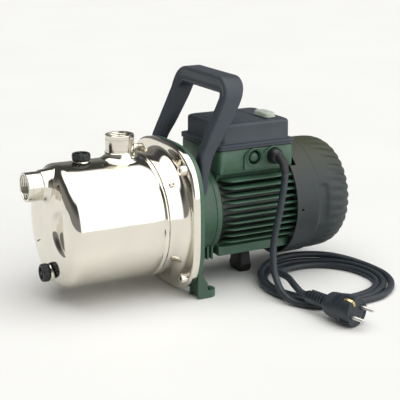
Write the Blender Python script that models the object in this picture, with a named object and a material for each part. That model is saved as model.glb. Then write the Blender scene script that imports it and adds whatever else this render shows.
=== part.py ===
"""Shallow well jet pump: stainless pump casing, finned motor, carry handle and coiled mains cord.

Every piece is its own object, in metres, with +Z up. The shaft lies along X, with the suction end
at -X and the fan at +X. Most pieces are drawn in the shaft frame, whose origin is on the shaft's
axis at the casing flange, and are placed there by their location.
"""

import math

import bmesh
import bpy
from mathutils import Matrix, Vector

# Driving dimensions, in metres.
GAP = 0.0003  # clearance that touching pieces keep
AXIS_HEIGHT = 0.0985  # shaft axis above the ground

BARREL_RADIUS = 0.0802
CASING_WALL = 0.0012
SHELL_SIDES = 44  # facets around the casing and the bracket behind it
FACE_X = -0.160  # middle of the pump's domed front face
FACE_CORNER_DEPTH = 0.018
FACE_CORNER_POWER = 7
BEAD_X = -0.030
FLANGE_HALF_SIDE = 0.0955
FLANGE_POWER = 3.2  # of the superellipse that the flange and the plate behind it follow
LIP_END_X = 0.0078
BOLT_OFFSET = 0.071  # each casing bolt is this far from the axis in Y and in Z
BOLT_RADIUS = 0.004

PORT_RADIUS = 0.0185
PORT_BORE = 0.01515  # minor radius of the G1 female thread
SUCTION_Z = 0.0552
SUCTION_MOUTH_X = -0.1883
DELIVERY_X = -0.0589
DELIVERY_MOUTH_Z = 0.1099

FILLER_X = -0.112
DRAIN_Z = -0.059
PLUG_HEAD_RADIUS = 0.0118
PLUG_HEAD_HEIGHT = 0.0083
PLUG_STANDOFF = 0.0024  # from the shell to the underside of a screw plug's head
PLUG_SHANK_RADIUS = 0.0062

SHAFT_RADIUS = 0.0085
IMPELLER_RADIUS = 0.055
STATOR_RADIUS = 0.055
STATOR_BORE = 0.031
HOUSING_START_X = 0.058
HOUSING_END_X = 0.1665
FIN_PITCH = 0.009
FIN_ROOT_RADIUS = 0.060
FIN_REACH = 0.0702
FIN_LIMIT_RADIUS = 0.0765  # the fan cover slides over the fins
PAD_TOP_Z = 0.062
BASE_PAD_Z = -0.0575

COVER_START_X = 0.1616
COVER_END_X = 0.259
COVER_RADIUS = 0.0795
COVER_WALL = 0.0022
FAN_RADIUS = 0.060

BOX_X = (0.0565, 0.169)
BOX_HALF_Y = 0.054
BOX_TOP_Z = 0.084
LID_RIM_TOP_Z = 0.092
LID_X = (0.0605, 0.167)
LID_HALF_Y = 0.0485
LID_TOP_Z = 0.117
LID_WALL = 0.0025
GLAND_X = 0.136
KNOCKOUT_X = 0.1075
HOLE_Z = 0.0725
GLAND_HOLE_RADIUS = 0.0092
SWITCH_X = 0.1465
SWITCH_Y = -0.0155
SWITCH_HALF_X = 0.0050
SWITCH_HALF_Y = 0.0128
ROCKER_REST_TILT = math.radians(-7)

HANDLE_HALF_WIDTH = 0.0735
HANDLE_LEG_WIDTH = 0.017
HANDLE_BAR_HEIGHT = 0.0215
HANDLE_BOTTOM_Z = 0.036
HANDLE_TOP_Z = 0.1815
HANDLE_CORNER = 0.018  # of the middle line

FOOT_OUTER_Y = 0.085
FOOT_INNER_Y = 0.060
FOOT_TAB_END_X = 0.039
FOOT_TAB_THICKNESS = 0.0095

CORD_RADIUS = 0.0044
COIL_CENTRE = (0.1905, -0.103)
COIL_INNER_RADIUS = 0.050
COIL_OUTER_RADIUS = 0.0915
COIL_HEIGHT = 0.0182
PLUG_FACE = (0.1335, -0.2575)
PLUG_LENGTH = 0.081
PLUG_HEADING = math.radians(-76)  # of the plug's nose, from +X
PLUG_ROLL = math.radians(28)
PLUG_RADIUS = 0.019
PIN_RADIUS = 0.0024
PIN_LENGTH = 0.019

FLANGE_X = -(SUCTION_MOUTH_X + COVER_END_X) / 2  # centres the pump's length on the origin
SHAFT = Vector((FLANGE_X, 0, AXIS_HEIGHT))
GROUND = -AXIS_HEIGHT
CORD_GROUND = GROUND + 0.0002  # the cord and its plug clear the ground by this

# Base colour, roughness and metallic value of each finish.
FINISHES = {
    "polished_steel": ((0.80, 0.78, 0.72), 0.12, 1.0),
    "machined_steel": ((0.62, 0.62, 0.62), 0.30, 1.0),
    "green_paint": ((0.045, 0.105, 0.065), 0.45, 0.0),
    "slate_plastic": ((0.065, 0.080, 0.100), 0.50, 0.0),
    "cover_plastic": ((0.045, 0.052, 0.055), 0.50, 0.0),
    "black_plastic": ((0.012, 0.013, 0.014), 0.40, 0.0),
    "grey_plastic": ((0.35, 0.36, 0.36), 0.50, 0.0),
    "clear_silicone": ((0.42, 0.48, 0.42), 0.35, 0.0),
    "rubber": ((0.010, 0.010, 0.010), 0.70, 0.0),
    "cord_rubber": ((0.035, 0.045, 0.055), 0.60, 0.0),
    "copper": ((0.55, 0.24, 0.10), 0.40, 1.0),
    "brass": ((0.70, 0.52, 0.24), 0.30, 1.0),
    "ceramic": ((0.75, 0.73, 0.68), 0.30, 0.0),
}


# ---------------------------------------------------------------- making objects
def clear_scene():
    for obj in list(bpy.data.objects):
        bpy.data.objects.remove(obj, do_unlink=True)


def make_material(name, finish):
    colour, roughness, metallic = FINISHES[finish]
    material = bpy.data.materials.new(name)
    material.use_nodes = True
    shader = material.node_tree.nodes["Principled BSDF"]
    shader.inputs["Base Color"].default_value = (*colour, 1)
    shader.inputs["Roughness"].default_value = roughness
    shader.inputs["Metallic"].default_value = metallic
    return material


def add_object(name, bm, finish, location=SHAFT, sharp=math.radians(35)):
    """Turn a bmesh into a named object with its faces pointing out."""
    bmesh.ops.recalc_face_normals(bm, faces=bm.faces[:])
    mesh = bpy.data.meshes.new(name)
    bm.to_mesh(mesh)
    bm.free()
    mesh.shade_smooth()
    mesh.set_sharp_from_angle(angle=sharp)
    mesh.materials.append(make_material(name, finish))
    obj = bpy.data.objects.new(name, mesh)
    obj.location = location
    bpy.context.collection.objects.link(obj)
    return obj


def combine(target, operation, bm, name, location=SHAFT):
    """Cut a tool shape from an object, or join it on."""
    tool = add_object(name, bm, "rubber", location)
    tool.hide_render = True
    tool.display_type = "WIRE"
    modifier = target.modifiers.new(name, "BOOLEAN")
    modifier.operation = operation
    modifier.object = tool


# ---------------------------------------------------------------- shapes
def place(axis, along, first, second):
    """A point from its distance along an axis and the other two coordinates, in X, Y, Z order."""
    return {"X": (along, first, second), "Y": (first, along, second), "Z": (first, second, along)}[axis]


def ring(axis, along, radius, count=32, centre=(0, 0), turn=0.0):
    if radius == 0:
        return [place(axis, along, *centre)]
    angles = [turn + math.tau * i / count for i in range(count)]
    return [
        place(axis, along, centre[0] + radius * math.cos(a), centre[1] + radius * math.sin(a))
        for a in angles
    ]


def square_ring(x, half_side, count):
    """A square with full corners and bowed sides, around the shaft."""
    points = []
    for i in range(count):
        angle = math.tau * (i + 0.5) / count
        y, z = math.cos(angle), math.sin(angle)
        radius = half_side / (abs(y) ** FLANGE_POWER + abs(z) ** FLANGE_POWER) ** (1 / FLANGE_POWER)
        points.append((x, radius * y, radius * z))
    return points


def rounded_rectangle(centre, half, corner, steps=4):
    """Outline of a rectangle whose corners are arcs."""
    points = []
    for quarter, (sx, sy) in enumerate(((1, 1), (-1, 1), (-1, -1), (1, -1))):
        for step in range(steps + 1):
            angle = math.pi / 2 * (quarter + step / steps)
            points.append(
                (
                    centre[0] + sx * (half[0] - corner) + corner * math.cos(angle),
                    centre[1] + sy * (half[1] - corner) + corner * math.sin(angle),
                )
            )
    return points


def rectangle_ring(axis, along, centre, half, corner, steps=4):
    outline = rounded_rectangle(centre, half, corner, steps)
    return [place(axis, along, *point) for point in outline]


def loft(rings, closed=False, bm=None):
    """Skin rings that have as many points each; a ring of one point is a pole."""
    bm = bm or bmesh.new()
    rows = [[bm.verts.new(point) for point in points] for points in rings]
    pairs = list(zip(rows, rows[1:]))
    if closed:
        pairs.append((rows[-1], rows[0]))
    for row, following in pairs:
        count = max(len(row), len(following))
        for i in range(count):
            j = (i + 1) % count
            corners = (
                row[i % len(row)],
                row[j % len(row)],
                following[j % len(following)],
                following[i % len(following)],
            )
            bm.faces.new(list(dict.fromkeys(corners)))
    if not closed:
        for row in (rows[0], rows[-1]):
            if len(row) > 2:
                bm.faces.new(row)
    return bm


def turned(axis, profile, count=32, centre=(0, 0), closed=True, bm=None):
    """Turn a profile of (distance along the axis, radius) points about an axis."""
    return loft([ring(axis, along, r, count, centre) for along, r in profile], closed, bm)


def prism(axis, start, end, outline, holes=(), bm=None):
    """Extrude an outline, which may have holes, along an axis."""
    flat = bmesh.new()
    edges = []
    for loop in (outline, *holes):
        verts = [flat.verts.new((*point, 0)) for point in loop]
        edges += [flat.edges.new(pair) for pair in zip(verts, verts[1:] + verts[:1])]
    bmesh.ops.triangle_fill(flat, edges=edges, use_beauty=True)
    flat.verts.index_update()
    caps = [[vert.index for vert in face.verts] for face in flat.faces]
    flat.free()

    bm = bm or bmesh.new()
    points = [point for loop in (outline, *holes) for point in loop]
    low = [bm.verts.new(place(axis, start, *point)) for point in points]
    high = [bm.verts.new(place(axis, end, *point)) for point in points]
    for cap in caps:
        bm.faces.new([low[i] for i in cap])
        bm.faces.new([high[i] for i in cap])
    first = 0
    for loop in (outline, *holes):
        count = len(loop)
        for i in range(count):
            a, b = first + i, first + (i + 1) % count
            bm.faces.new((low[a], low[b], high[b], high[a]))
        first += count
    return bm


def block(x, y, z, bm=None):
    """A rectangular block between two values on each axis."""
    outline = [(x[0], y[0]), (x[1], y[0]), (x[1], y[1]), (x[0], y[1])]
    return prism("Z", *z, outline, bm=bm)


def smooth_route(points, spacing):
    """Points at even steps along a Catmull-Rom curve through a cord's route."""
    points = [Vector(point) for point in points]
    padded = [2 * points[0] - points[1], *points, 2 * points[-1] - points[-2]]
    fine = []
    for a, b, c, d in zip(padded, padded[1:], padded[2:], padded[3:]):
        for step in range(24):
            t = step / 24
            fine.append(
                0.5
                * (
                    2 * b
                    + (c - a) * t
                    + (2 * a - 5 * b + 4 * c - d) * t**2
                    + (3 * b - a - 3 * c + d) * t**3
                )
            )
    fine.append(points[-1])
    kept = [fine[0]]
    for point in fine:
        if (point - kept[-1]).length >= spacing:
            kept.append(point)
    if (points[-1] - kept[-1]).length < spacing / 2:
        kept.pop()
    return [*kept, points[-1]]


def add_cord(name, route):
    """A round cord along a route in the shaft frame."""
    curve = bpy.data.curves.new(name, "CURVE")
    curve.dimensions = "3D"
    curve.bevel_depth = CORD_RADIUS
    curve.bevel_resolution = 2
    curve.render_resolution_u = 0
    curve.use_fill_caps = True
    points = smooth_route(route, 2.4 * CORD_RADIUS * 2)
    spline = curve.splines.new("POLY")
    spline.points.add(len(points) - 1)
    for target, point in zip(spline.points, points):
        target.co = (*point, 1)
    curve.materials.append(make_material(name, "cord_rubber"))
    obj = bpy.data.objects.new(name, curve)
    obj.location = SHAFT
    bpy.context.collection.objects.link(obj)


# ---------------------------------------------------------------- pump end
def face_x(radius, outset=0.0):
    """The pump's front face: nearly flat, with a rounded corner into the barrel."""
    share = min(1.0, (radius / BARREL_RADIUS) ** FACE_CORNER_POWER)
    return FACE_X - outset + FACE_CORNER_DEPTH * (1 - math.sqrt(1 - share))


def build_casing():
    """The pressed shell: domed face, barrel with a bead, square flange and folded lip."""
    count = SHELL_SIDES
    inner = BARREL_RADIUS - CASING_WALL
    rings = [ring("X", FACE_X, 0)]
    for radius in (0.055, 0.068, 0.0760, 0.0795):
        rings.append(ring("X", face_x(radius), radius, count, turn=math.pi / count))
    outside = [(-0.140, BARREL_RADIUS), (BEAD_X - 0.004, BARREL_RADIUS), (BEAD_X - 0.002, 0.0818)]
    outside += [(BEAD_X + 0.002, 0.0818), (BEAD_X + 0.004, BARREL_RADIUS), (-0.006, BARREL_RADIUS)]
    outside += [(-0.0015, 0.0835)]
    rings += [ring("X", x, r, count, turn=math.pi / count) for x, r in outside]
    rim, wall = FLANGE_HALF_SIDE, CASING_WALL
    rings += [
        square_ring(-0.0015, rim - 0.003, count),
        square_ring(0.0005, rim, count),
        square_ring(LIP_END_X, rim, count),
        square_ring(LIP_END_X, rim - wall, count),
        square_ring(-0.0003, rim - wall, count),
    ]
    inside = [(-0.0003, 0.0825), (-0.006, inner), (-0.140, inner)]
    rings += [ring("X", x, r, count, turn=math.pi / count) for x, r in inside]
    for radius in (0.0755, 0.055):
        x = face_x(radius * BARREL_RADIUS / inner) + CASING_WALL
        rings.append(ring("X", x, radius, count, turn=math.pi / count))
    rings.append(ring("X", FACE_X + CASING_WALL, 0))
    casing = add_object("pump_casing", loft(rings), "polished_steel")
    holes = bmesh.new()
    for y, z in bolt_places():
        turned("X", [(-0.004, 0), (-0.004, 0.0045), (0.004, 0.0045), (0.004, 0)], 12, (y, z), False, holes)
    combine(casing, "DIFFERENCE", holes, "cut_bolt_holes")
    hole = PORT_RADIUS + GAP
    ports = turned("X", [(-0.2, 0), (-0.2, hole), (-0.1, hole), (-0.1, 0)], 24, (0, SUCTION_Z), False)
    turned("Z", [(0.06, 0), (0.06, hole), (0.1, hole), (0.1, 0)], 24, (DELIVERY_X, 0), False, ports)
    small = PLUG_SHANK_RADIUS + 0.0035 + GAP
    turned("Z", [(0.06, 0), (0.06, small), (0.1, small), (0.1, 0)], 16, (FILLER_X, 0), False, ports)
    turned("X", [(-0.2, 0), (-0.2, small), (-0.1, small), (-0.1, 0)], 16, (0, DRAIN_Z), False, ports)
    combine(casing, "DIFFERENCE", ports, "cut_ports")


def bolt_places():
    return [(sy * BOLT_OFFSET, sz * BOLT_OFFSET) for sy in (-1, 1) for sz in (1, -1)]


def front_seat(radius, centre_z, outset, count):
    """A ring that follows the front face around a fitting along X."""
    points = []
    for i in range(count):
        angle = math.tau * i / count
        y, z = radius * math.cos(angle), centre_z + radius * math.sin(angle)
        points.append((face_x(min(math.hypot(y, z), 0.0797), outset), y, z))
    return points


def barrel_seat(radius, centre_x, outset, count):
    """A ring that follows the barrel's top around a fitting along Z."""
    points = []
    for i in range(count):
        angle = math.tau * i / count
        x, y = centre_x + radius * math.cos(angle), radius * math.sin(angle)
        points.append((x, y, math.sqrt((BARREL_RADIUS + outset) ** 2 - y**2)))
    return points


def build_ports():
    """Threaded ports with a welding collar; each stub passes through the shell."""
    count = 24
    suction = [
        ring("X", -0.154, PORT_BORE, count, (0, SUCTION_Z)),
        ring("X", SUCTION_MOUTH_X, PORT_BORE, count, (0, SUCTION_Z)),
        ring("X", SUCTION_MOUTH_X, PORT_RADIUS, count, (0, SUCTION_Z)),
        ring("X", -0.1655, PORT_RADIUS, count, (0, SUCTION_Z)),
        ring("X", -0.1645, PORT_RADIUS + 0.0022, count, (0, SUCTION_Z)),
        front_seat(PORT_RADIUS + 0.0028, SUCTION_Z, GAP + 0.0018, count),
        front_seat(PORT_RADIUS + 0.0028, SUCTION_Z, GAP, count),
        front_seat(PORT_RADIUS, SUCTION_Z, GAP, count),
        ring("X", -0.154, PORT_RADIUS, count, (0, SUCTION_Z)),
    ]
    add_object("suction_port", loft(suction, closed=True), "polished_steel")
    centre = (DELIVERY_X, 0)
    delivery = [
        ring("Z", 0.073, PORT_BORE, count, centre),
        ring("Z", DELIVERY_MOUTH_Z, PORT_BORE, count, centre),
        ring("Z", DELIVERY_MOUTH_Z, PORT_RADIUS, count, centre),
        ring("Z", 0.0855, PORT_RADIUS, count, centre),
        ring("Z", 0.0845, PORT_RADIUS + 0.0018, count, centre),
        barrel_seat(PORT_RADIUS + 0.0028, DELIVERY_X, 0.0018, count),
        barrel_seat(PORT_RADIUS + 0.0028, DELIVERY_X, GAP, count),
        barrel_seat(PORT_RADIUS, DELIVERY_X, GAP, count),
        ring("Z", 0.073, PORT_RADIUS, count, centre),
    ]
    add_object("delivery_port", loft(delivery, closed=True), "polished_steel")


def plug_profile():
    """Head, shank and tip of a screw plug, along its axis from under the head."""
    head = PLUG_HEAD_HEIGHT
    return [
        (-0.009, 0),
        (-0.009, PLUG_SHANK_RADIUS - 0.001),
        (-0.008, PLUG_SHANK_RADIUS),
        (0, PLUG_SHANK_RADIUS),
        (0, PLUG_HEAD_RADIUS - 0.0008),
        (0.0012, PLUG_HEAD_RADIUS),
        (head - 0.0015, PLUG_HEAD_RADIUS),
        (head, PLUG_HEAD_RADIUS - 0.002),
        (head, 0.0055),
        (head - 0.003, 0.0045),
        (head - 0.003, 0),
    ]


def build_screw_plug(name, origin, direction):
    """A boss through the shell, with a sealing ring and a hand-turned plug.

    The seal and the plug have their origin on the plug's axis, at the underside of its head.
    """
    turn = Vector((0, 0, 1)).rotation_difference(direction).to_euler()
    bore = PLUG_SHANK_RADIUS + GAP
    outer = PLUG_SHANK_RADIUS + 0.0035
    seal = 0.0010
    seal_radius = PLUG_HEAD_RADIUS - 0.0005
    boss = [(-0.0105, bore), (-seal - GAP, bore), (-seal - GAP, 0.0118), (-0.0016, 0.0122)]
    boss += [(-0.0020, 0.0122), (-0.0020, outer), (-0.0105, outer)]
    gasket = [(-seal, bore), (-GAP, bore), (-GAP, seal_radius), (-seal, seal_radius)]
    pieces = [
        add_object(f"{name}_boss", turned("Z", boss, 20), "polished_steel", origin),
        add_object(f"{name}_plug_seal", turned("Z", gasket, 20), "rubber", origin),
        add_object(f"{name}_plug", turned("Z", plug_profile(), 20, closed=False), "black_plastic", origin),
    ]
    for piece in pieces:
        piece.rotation_euler = turn


def build_hydraulics():
    """Ejector, diffuser, impeller and shaft seal inside the casing."""
    nozzle = [(-0.152, 0.010), (-0.150, 0.013), (-0.132, 0.0085), (-0.122, 0.0055), (-0.122, 0.0035)]
    nozzle += [(-0.132, 0.0045), (-0.150, 0.0085)]
    add_object("ejector_nozzle", turned("X", nozzle, 16), "brass")
    venturi = [(-0.120, 0.0125), (-0.118, 0.0145), (-0.104, 0.010), (-0.060, 0.013), (-0.050, 0.018)]
    venturi += [(-0.048, 0.018), (-0.048, 0.0115), (-0.060, 0.009), (-0.104, 0.0055), (-0.118, 0.0105)]
    add_object("venturi_tube", turned("X", venturi, 16), "black_plastic")
    diffuser = [(-0.0475, 0.0115), (-0.0475, 0.066), (-0.012, 0.068), (-0.012, 0.062), (-0.020, 0.058)]
    diffuser += [(-0.0385, 0.058), (-0.0385, 0.0175), (-0.0455, 0.0115)]
    add_object("diffuser", turned("X", diffuser, 24), "black_plastic")
    impeller = [(-0.038, 0.016), (-0.038, 0.0195), (-0.030, 0.024), (-0.0285, IMPELLER_RADIUS)]
    impeller += [(-0.020, IMPELLER_RADIUS), (-0.020, 0.011), (-0.0165, 0.011)]
    impeller += [(-0.0165, SHAFT_RADIUS - 0.0012), (-0.030, SHAFT_RADIUS - 0.0012), (-0.030, 0.012)]
    add_object("impeller", turned("X", impeller, 24), "black_plastic")
    nut = [(-0.0365, 0.0056), (-0.0365, 0.0095), (-0.0303, 0.0095), (-0.0303, 0.0056)]
    add_object("impeller_nut", turned("X", nut, 6), "machined_steel")
    rotor_ring = [(-0.0162, 0.0088), (-0.0162, 0.0125), (-0.006, 0.0125), (-0.006, 0.0088)]
    add_object("shaft_seal_rotor", turned("X", rotor_ring, 20), "ceramic")
    seat = [(-0.0057, 0.0095), (-0.0057, 0.0125), (0.004, 0.0125), (0.004, 0.0095)]
    add_object("shaft_seal_seat", turned("X", seat, 20), "ceramic")
    plate = [(-0.010, 0.0128), (-0.010, 0.060), (-0.0045, 0.066), (-0.0045, 0.0780), (-0.0035, 0.0780)]
    plate += [(-0.0035, 0.0128)]
    add_object("seal_plate", turned("X", plate, 24), "machined_steel")
    o_ring = [(-0.0015 + 0.0014 * math.cos(a), 0.0768 + 0.0014 * math.sin(a)) for a in arc_angles(6)]
    add_object("casing_o_ring", turned("X", o_ring, 24), "rubber")


def arc_angles(count):
    return [math.tau * i / count for i in range(count)]


# ---------------------------------------------------------------- motor end
def foot_shape(side):
    """Web, gusset and slotted tab of one foot, joined in one bmesh of separate bodies."""
    y_outer, y_inner = side * FOOT_OUTER_Y, side * FOOT_INNER_Y
    y_gusset = side * (FOOT_OUTER_Y - 0.006)
    web = [(0.0095, GROUND), (0.0145, GROUND), (0.0145, -0.052), (0.0095, -0.052)]
    gusset = [(0.012, GROUND + 0.004), (0.027, GROUND + 0.004), (0.026, -0.084), (0.0158, -0.066)]
    gusset += [(0.0145, -0.054), (0.012, -0.054)]
    radius = abs(y_outer - y_inner) / 2
    middle = (y_outer + y_inner) / 2
    tab = [(0.0097, y_outer), (0.0097, y_inner)]
    for step in range(9):
        angle = math.pi / 2 - math.pi * step / 8
        x = FOOT_TAB_END_X - radius + radius * math.cos(angle)
        tab.append((x, middle - side * radius * math.sin(angle)))
    slot = [(0.0265 + dx, middle + dy) for dx, dy in rounded_rectangle((0, 0), (0.0043, 0.0068), 0.0042, 3)]
    shapes = []
    for axis, start, end, outline, holes in (
        ("Y", y_inner, y_outer, web, ()),
        ("Y", y_gusset, y_outer, gusset, ()),
        ("Z", GROUND, GROUND + FOOT_TAB_THICKNESS, tab, (slot,)),
    ):
        shapes.append(prism(axis, start, end, outline, holes))
    return shapes


def build_bracket():
    """The die-cast lantern: flange plate, barrel collar with the bearing seat, feet and lugs."""
    count = SHELL_SIDES
    turn = math.pi / count

    def around(x, radius):
        return ring("X", x, radius, count, turn=turn)

    inside = FLANGE_HALF_SIDE - CASING_WALL - GAP
    edge = FLANGE_HALF_SIDE - 0.001
    rings = [
        around(0.0003, 0.070),
        square_ring(0.0003, inside, count),
        square_ring(LIP_END_X + GAP, inside, count),
        square_ring(LIP_END_X + GAP, edge, count),
        square_ring(0.0145, edge, count),
        around(0.0150, 0.071),
        around(0.019, 0.064),
        around(0.045, 0.061),
        around(0.0577, 0.0612),
        around(0.0577, 0.054),
        around(0.0524, 0.050),
        around(0.0524, 0.0203),
        around(0.0397, 0.0203),
        around(0.0397, 0.0125),
        around(0.022, 0.0125),
        around(0.018, 0.056),
        around(0.006, 0.060),
    ]
    bracket = add_object("motor_bracket", loft(rings, closed=True), "green_paint")
    for side, label in ((-1, "near"), (1, "far")):
        for number, shape in enumerate(foot_shape(side)):
            combine(bracket, "UNION", shape, f"{label}_foot_{number}")
        lug_end = HANDLE_HALF_WIDTH - HANDLE_LEG_WIDTH - GAP
        lug = [(0.030, 0), (0.030, 0.0085), (lug_end, 0.0075), (lug_end, 0)]
        lug = [(side * y, radius) for y, radius in lug]
        combine(bracket, "UNION", turned("Y", lug, 12, (0.029, 0.046), False), f"{label}_handle_lug")
    holes = bmesh.new()
    for y, z in bolt_places():
        drill = [(-0.002, 0), (-0.002, BOLT_RADIUS + GAP), (0.03, BOLT_RADIUS + GAP), (0.03, 0)]
        turned("X", drill, 12, (y, z), False, holes)
    combine(bracket, "DIFFERENCE", holes, "cut_bracket_bolts")


def build_casing_bolts():
    """Socket-head cap screws through the casing flange."""
    for number, (y, z) in enumerate(bolt_places(), 1):
        rings = [
            ring("X", 0.0135, 0, 12),
            ring("X", 0.0135, BOLT_RADIUS, 12),
            ring("X", -0.0018, BOLT_RADIUS, 12),
            ring("X", -0.0018, 0.0065, 12),
            ring("X", -0.0093, 0.0065, 12),
            ring("X", -0.0098, 0.0058, 12),
            ring("X", -0.0098, 0.0034, 12),
            ring("X", -0.0060, 0.0034, 12),
            ring("X", -0.0060, 0, 12),
        ]
        place_at = SHAFT + Vector((0, y, z))
        add_object(f"casing_bolt_{number}", loft(rings), "machined_steel", place_at)


def fin_tip(z):
    """How far from the middle a cooling fin reaches at a height."""
    below = max(-0.02 - z, 0.0)
    spread = FIN_REACH - 3.2 * z * z - 0.22 * below
    return min(spread, math.sqrt(FIN_LIMIT_RADIUS**2 - z * z))


def housing_outline():
    """Cross-section of the finned motor body, anticlockwise from its right side."""
    right = []
    fin_heights = [-0.0365 + FIN_PITCH * i for i in range(10)]
    for z in fin_heights:
        root, tip = math.sqrt(FIN_ROOT_RADIUS**2 - z * z), fin_tip(z)
        right += [(root, z - 0.0020), (tip, z - 0.0013), (tip, z + 0.0013), (root, z + 0.0020)]
    top = [(0.040, 0.0545), (BOX_HALF_Y, 0.0555), (BOX_HALF_Y, PAD_TOP_Z)]
    half = [(0.050, BASE_PAD_Z), (0.050, -0.0450), (0.0445, -0.0420), *right, *top]
    return half + [(-y, z) for y, z in reversed(half)]


def build_motor():
    """Finned body, stator, rotor, bearings, end shield, fan and cover."""
    bore = ring("X", 0, STATOR_RADIUS + GAP, 40)
    bore = [(y, z) for _, y, z in bore]
    body = prism("X", HOUSING_START_X, HOUSING_END_X, housing_outline(), [bore])
    add_object("motor_housing", body, "green_paint", sharp=math.radians(25))

    stack = [(0.075, STATOR_BORE), (0.075, STATOR_RADIUS), (0.145, STATOR_RADIUS), (0.145, STATOR_BORE)]
    add_object("stator_core", turned("X", stack, 28), "machined_steel")
    for name, start, end in (("winding_front", 0.0605, 0.0747), ("winding_rear", 0.1453, 0.1595)):
        middle, half = (start + end) / 2, (end - start) / 2
        coil = [(middle + half * math.cos(a), 0.0435 + 0.0085 * math.sin(a)) for a in arc_angles(6)]
        add_object(name, turned("X", coil, 24), "copper")
    core = [(0.0745, SHAFT_RADIUS + GAP), (0.0745, 0.0305), (0.1455, 0.0305), (0.1455, SHAFT_RADIUS + GAP)]
    add_object("rotor_core", turned("X", core, 24), "machined_steel")
    shaft = [(-0.0440, 0), (-0.0440, 0.0045), (-0.0302, 0.0045), (-0.0302, 0.0070), (-0.0162, 0.0070)]
    shaft += [(-0.0162, SHAFT_RADIUS), (0.160, SHAFT_RADIUS), (0.160, 0.006), (0.2150, 0.006), (0.2150, 0)]
    add_object("rotor_shaft", turned("X", shaft, 16, closed=False), "machined_steel")

    build_bearing("front_bearing", 0.040, 0.052, SHAFT_RADIUS, 0.020)
    build_bearing("rear_bearing", 0.1625, 0.1725, 0.006, 0.016)

    shield = [(0.1615, 0.0165), (0.1615, 0.0545), (HOUSING_END_X + GAP, 0.0545)]
    shield += [(HOUSING_END_X + GAP, 0.0595), (0.1735, 0.0595), (0.1785, 0.021)]
    shield += [(0.1785, 0.0095), (0.1735, 0.0095), (0.1735, 0.0165)]
    add_object("rear_end_shield", turned("X", shield, 24), "green_paint")

    fan = [(0.186, 0.0063), (0.186, 0.014), (0.192, 0.018), (0.192, FAN_RADIUS), (0.1945, FAN_RADIUS)]
    fan += [(0.1945, 0.016), (0.210, 0.013), (0.210, 0.0063)]
    cooling_fan = add_object("cooling_fan", turned("X", fan, 28), "black_plastic")
    blades = 7
    for number in range(blades):
        blade = block((0.194, 0.216), (-0.0008, 0.0008), (0.015, FAN_RADIUS - 0.001))
        turn = Matrix.Rotation(math.tau * number / blades, 3, "X")
        bmesh.ops.rotate(blade, verts=blade.verts, matrix=turn)
        combine(cooling_fan, "UNION", blade, f"fan_blade_{number}")


def build_bearing(name, start, end, shaft_radius, outer_radius):
    """A ball bearing: two races and a ring of caged balls between them."""
    bore, outer = shaft_radius + GAP, outer_radius
    span = outer - bore
    inner_top, outer_bottom = bore + 0.26 * span, outer - 0.26 * span
    races = (("inner", bore, inner_top), ("outer", outer_bottom, outer))
    for label, low, high in races:
        ring_profile = [(start, low), (start, high), (end, high), (end, low)]
        add_object(f"{name}_{label}", turned("X", ring_profile, 24), "machined_steel")
    pitch = (inner_top + outer_bottom) / 2
    ball = (outer_bottom - inner_top) / 2 - GAP
    balls, samples = 7, 4
    rings = []
    for i in range(balls * samples):
        angle = math.tau * i / (balls * samples)
        off = (i % samples) / samples
        distance = min(off, 1 - off) * math.tau * pitch / balls
        tube = math.sqrt(max(ball**2 - distance**2, (0.4 * ball) ** 2))
        points = []
        for a in arc_angles(5):
            radius = pitch + tube * math.cos(a)
            x = (start + end) / 2 + tube * math.sin(a)
            points.append((x, radius * math.cos(angle), radius * math.sin(angle)))
        rings.append(points)
    add_object(f"{name}_balls", loft(rings, closed=True), "machined_steel")


def build_fan_cover():
    """The moulded cover, stepped at its ridge, with an air grille in its domed rear."""
    wall = COVER_WALL
    outside = [(COVER_START_X, COVER_RADIUS), (0.1965, COVER_RADIUS), (0.1985, COVER_RADIUS - 0.001)]
    outside += [(0.226, 0.0783), (0.242, 0.0750), (0.2530, 0.0655), (0.2580, 0.0450)]
    outside += [(COVER_END_X, 0.0200)]
    inside = [(x - wall, r - wall * 0.3) for x, r in reversed(outside[4:])]
    inside += [(0.226, 0.0761), (0.1965, COVER_RADIUS - wall), (COVER_START_X, COVER_RADIUS - wall)]
    rings = [ring("X", COVER_END_X, 0)]
    rings += [ring("X", x, r, 40) for x, r in reversed(outside)]
    rings += [ring("X", x, r, 40) for x, r in reversed(inside)]
    rings.append(ring("X", COVER_END_X - wall, 0))
    cover = add_object("fan_cover", loft(rings), "cover_plastic")
    notch = block((0.150, 0.1712), (-0.0572, 0.0572), (0.0550, 0.100))
    combine(cover, "DIFFERENCE", notch, "cut_box_notch")
    slots = bmesh.new()
    count = 12
    for number in range(count):
        slot = block((0.235, 0.270), (-0.0030, 0.0030), (0.024, 0.058))
        turn = Matrix.Rotation(math.tau * (number + 0.5) / count, 4, "X")
        bmesh.ops.transform(slot, verts=slot.verts, matrix=turn)
        scrap = bpy.data.meshes.new("slot")
        slot.to_mesh(scrap)
        slot.free()
        slots.from_mesh(scrap)
        bpy.data.meshes.remove(scrap)
    combine(cover, "DIFFERENCE", slots, "cut_air_slots")


# ---------------------------------------------------------------- terminal box and switch
def cup(rings_of, floor, top, wall, floor_wall):
    """An open-topped box with walls of one thickness."""
    return loft(
        [
            rings_of(floor, 0.0),
            rings_of(top, 0.0),
            rings_of(top, wall),
            rings_of(floor + floor_wall, wall),
        ]
    )


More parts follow.
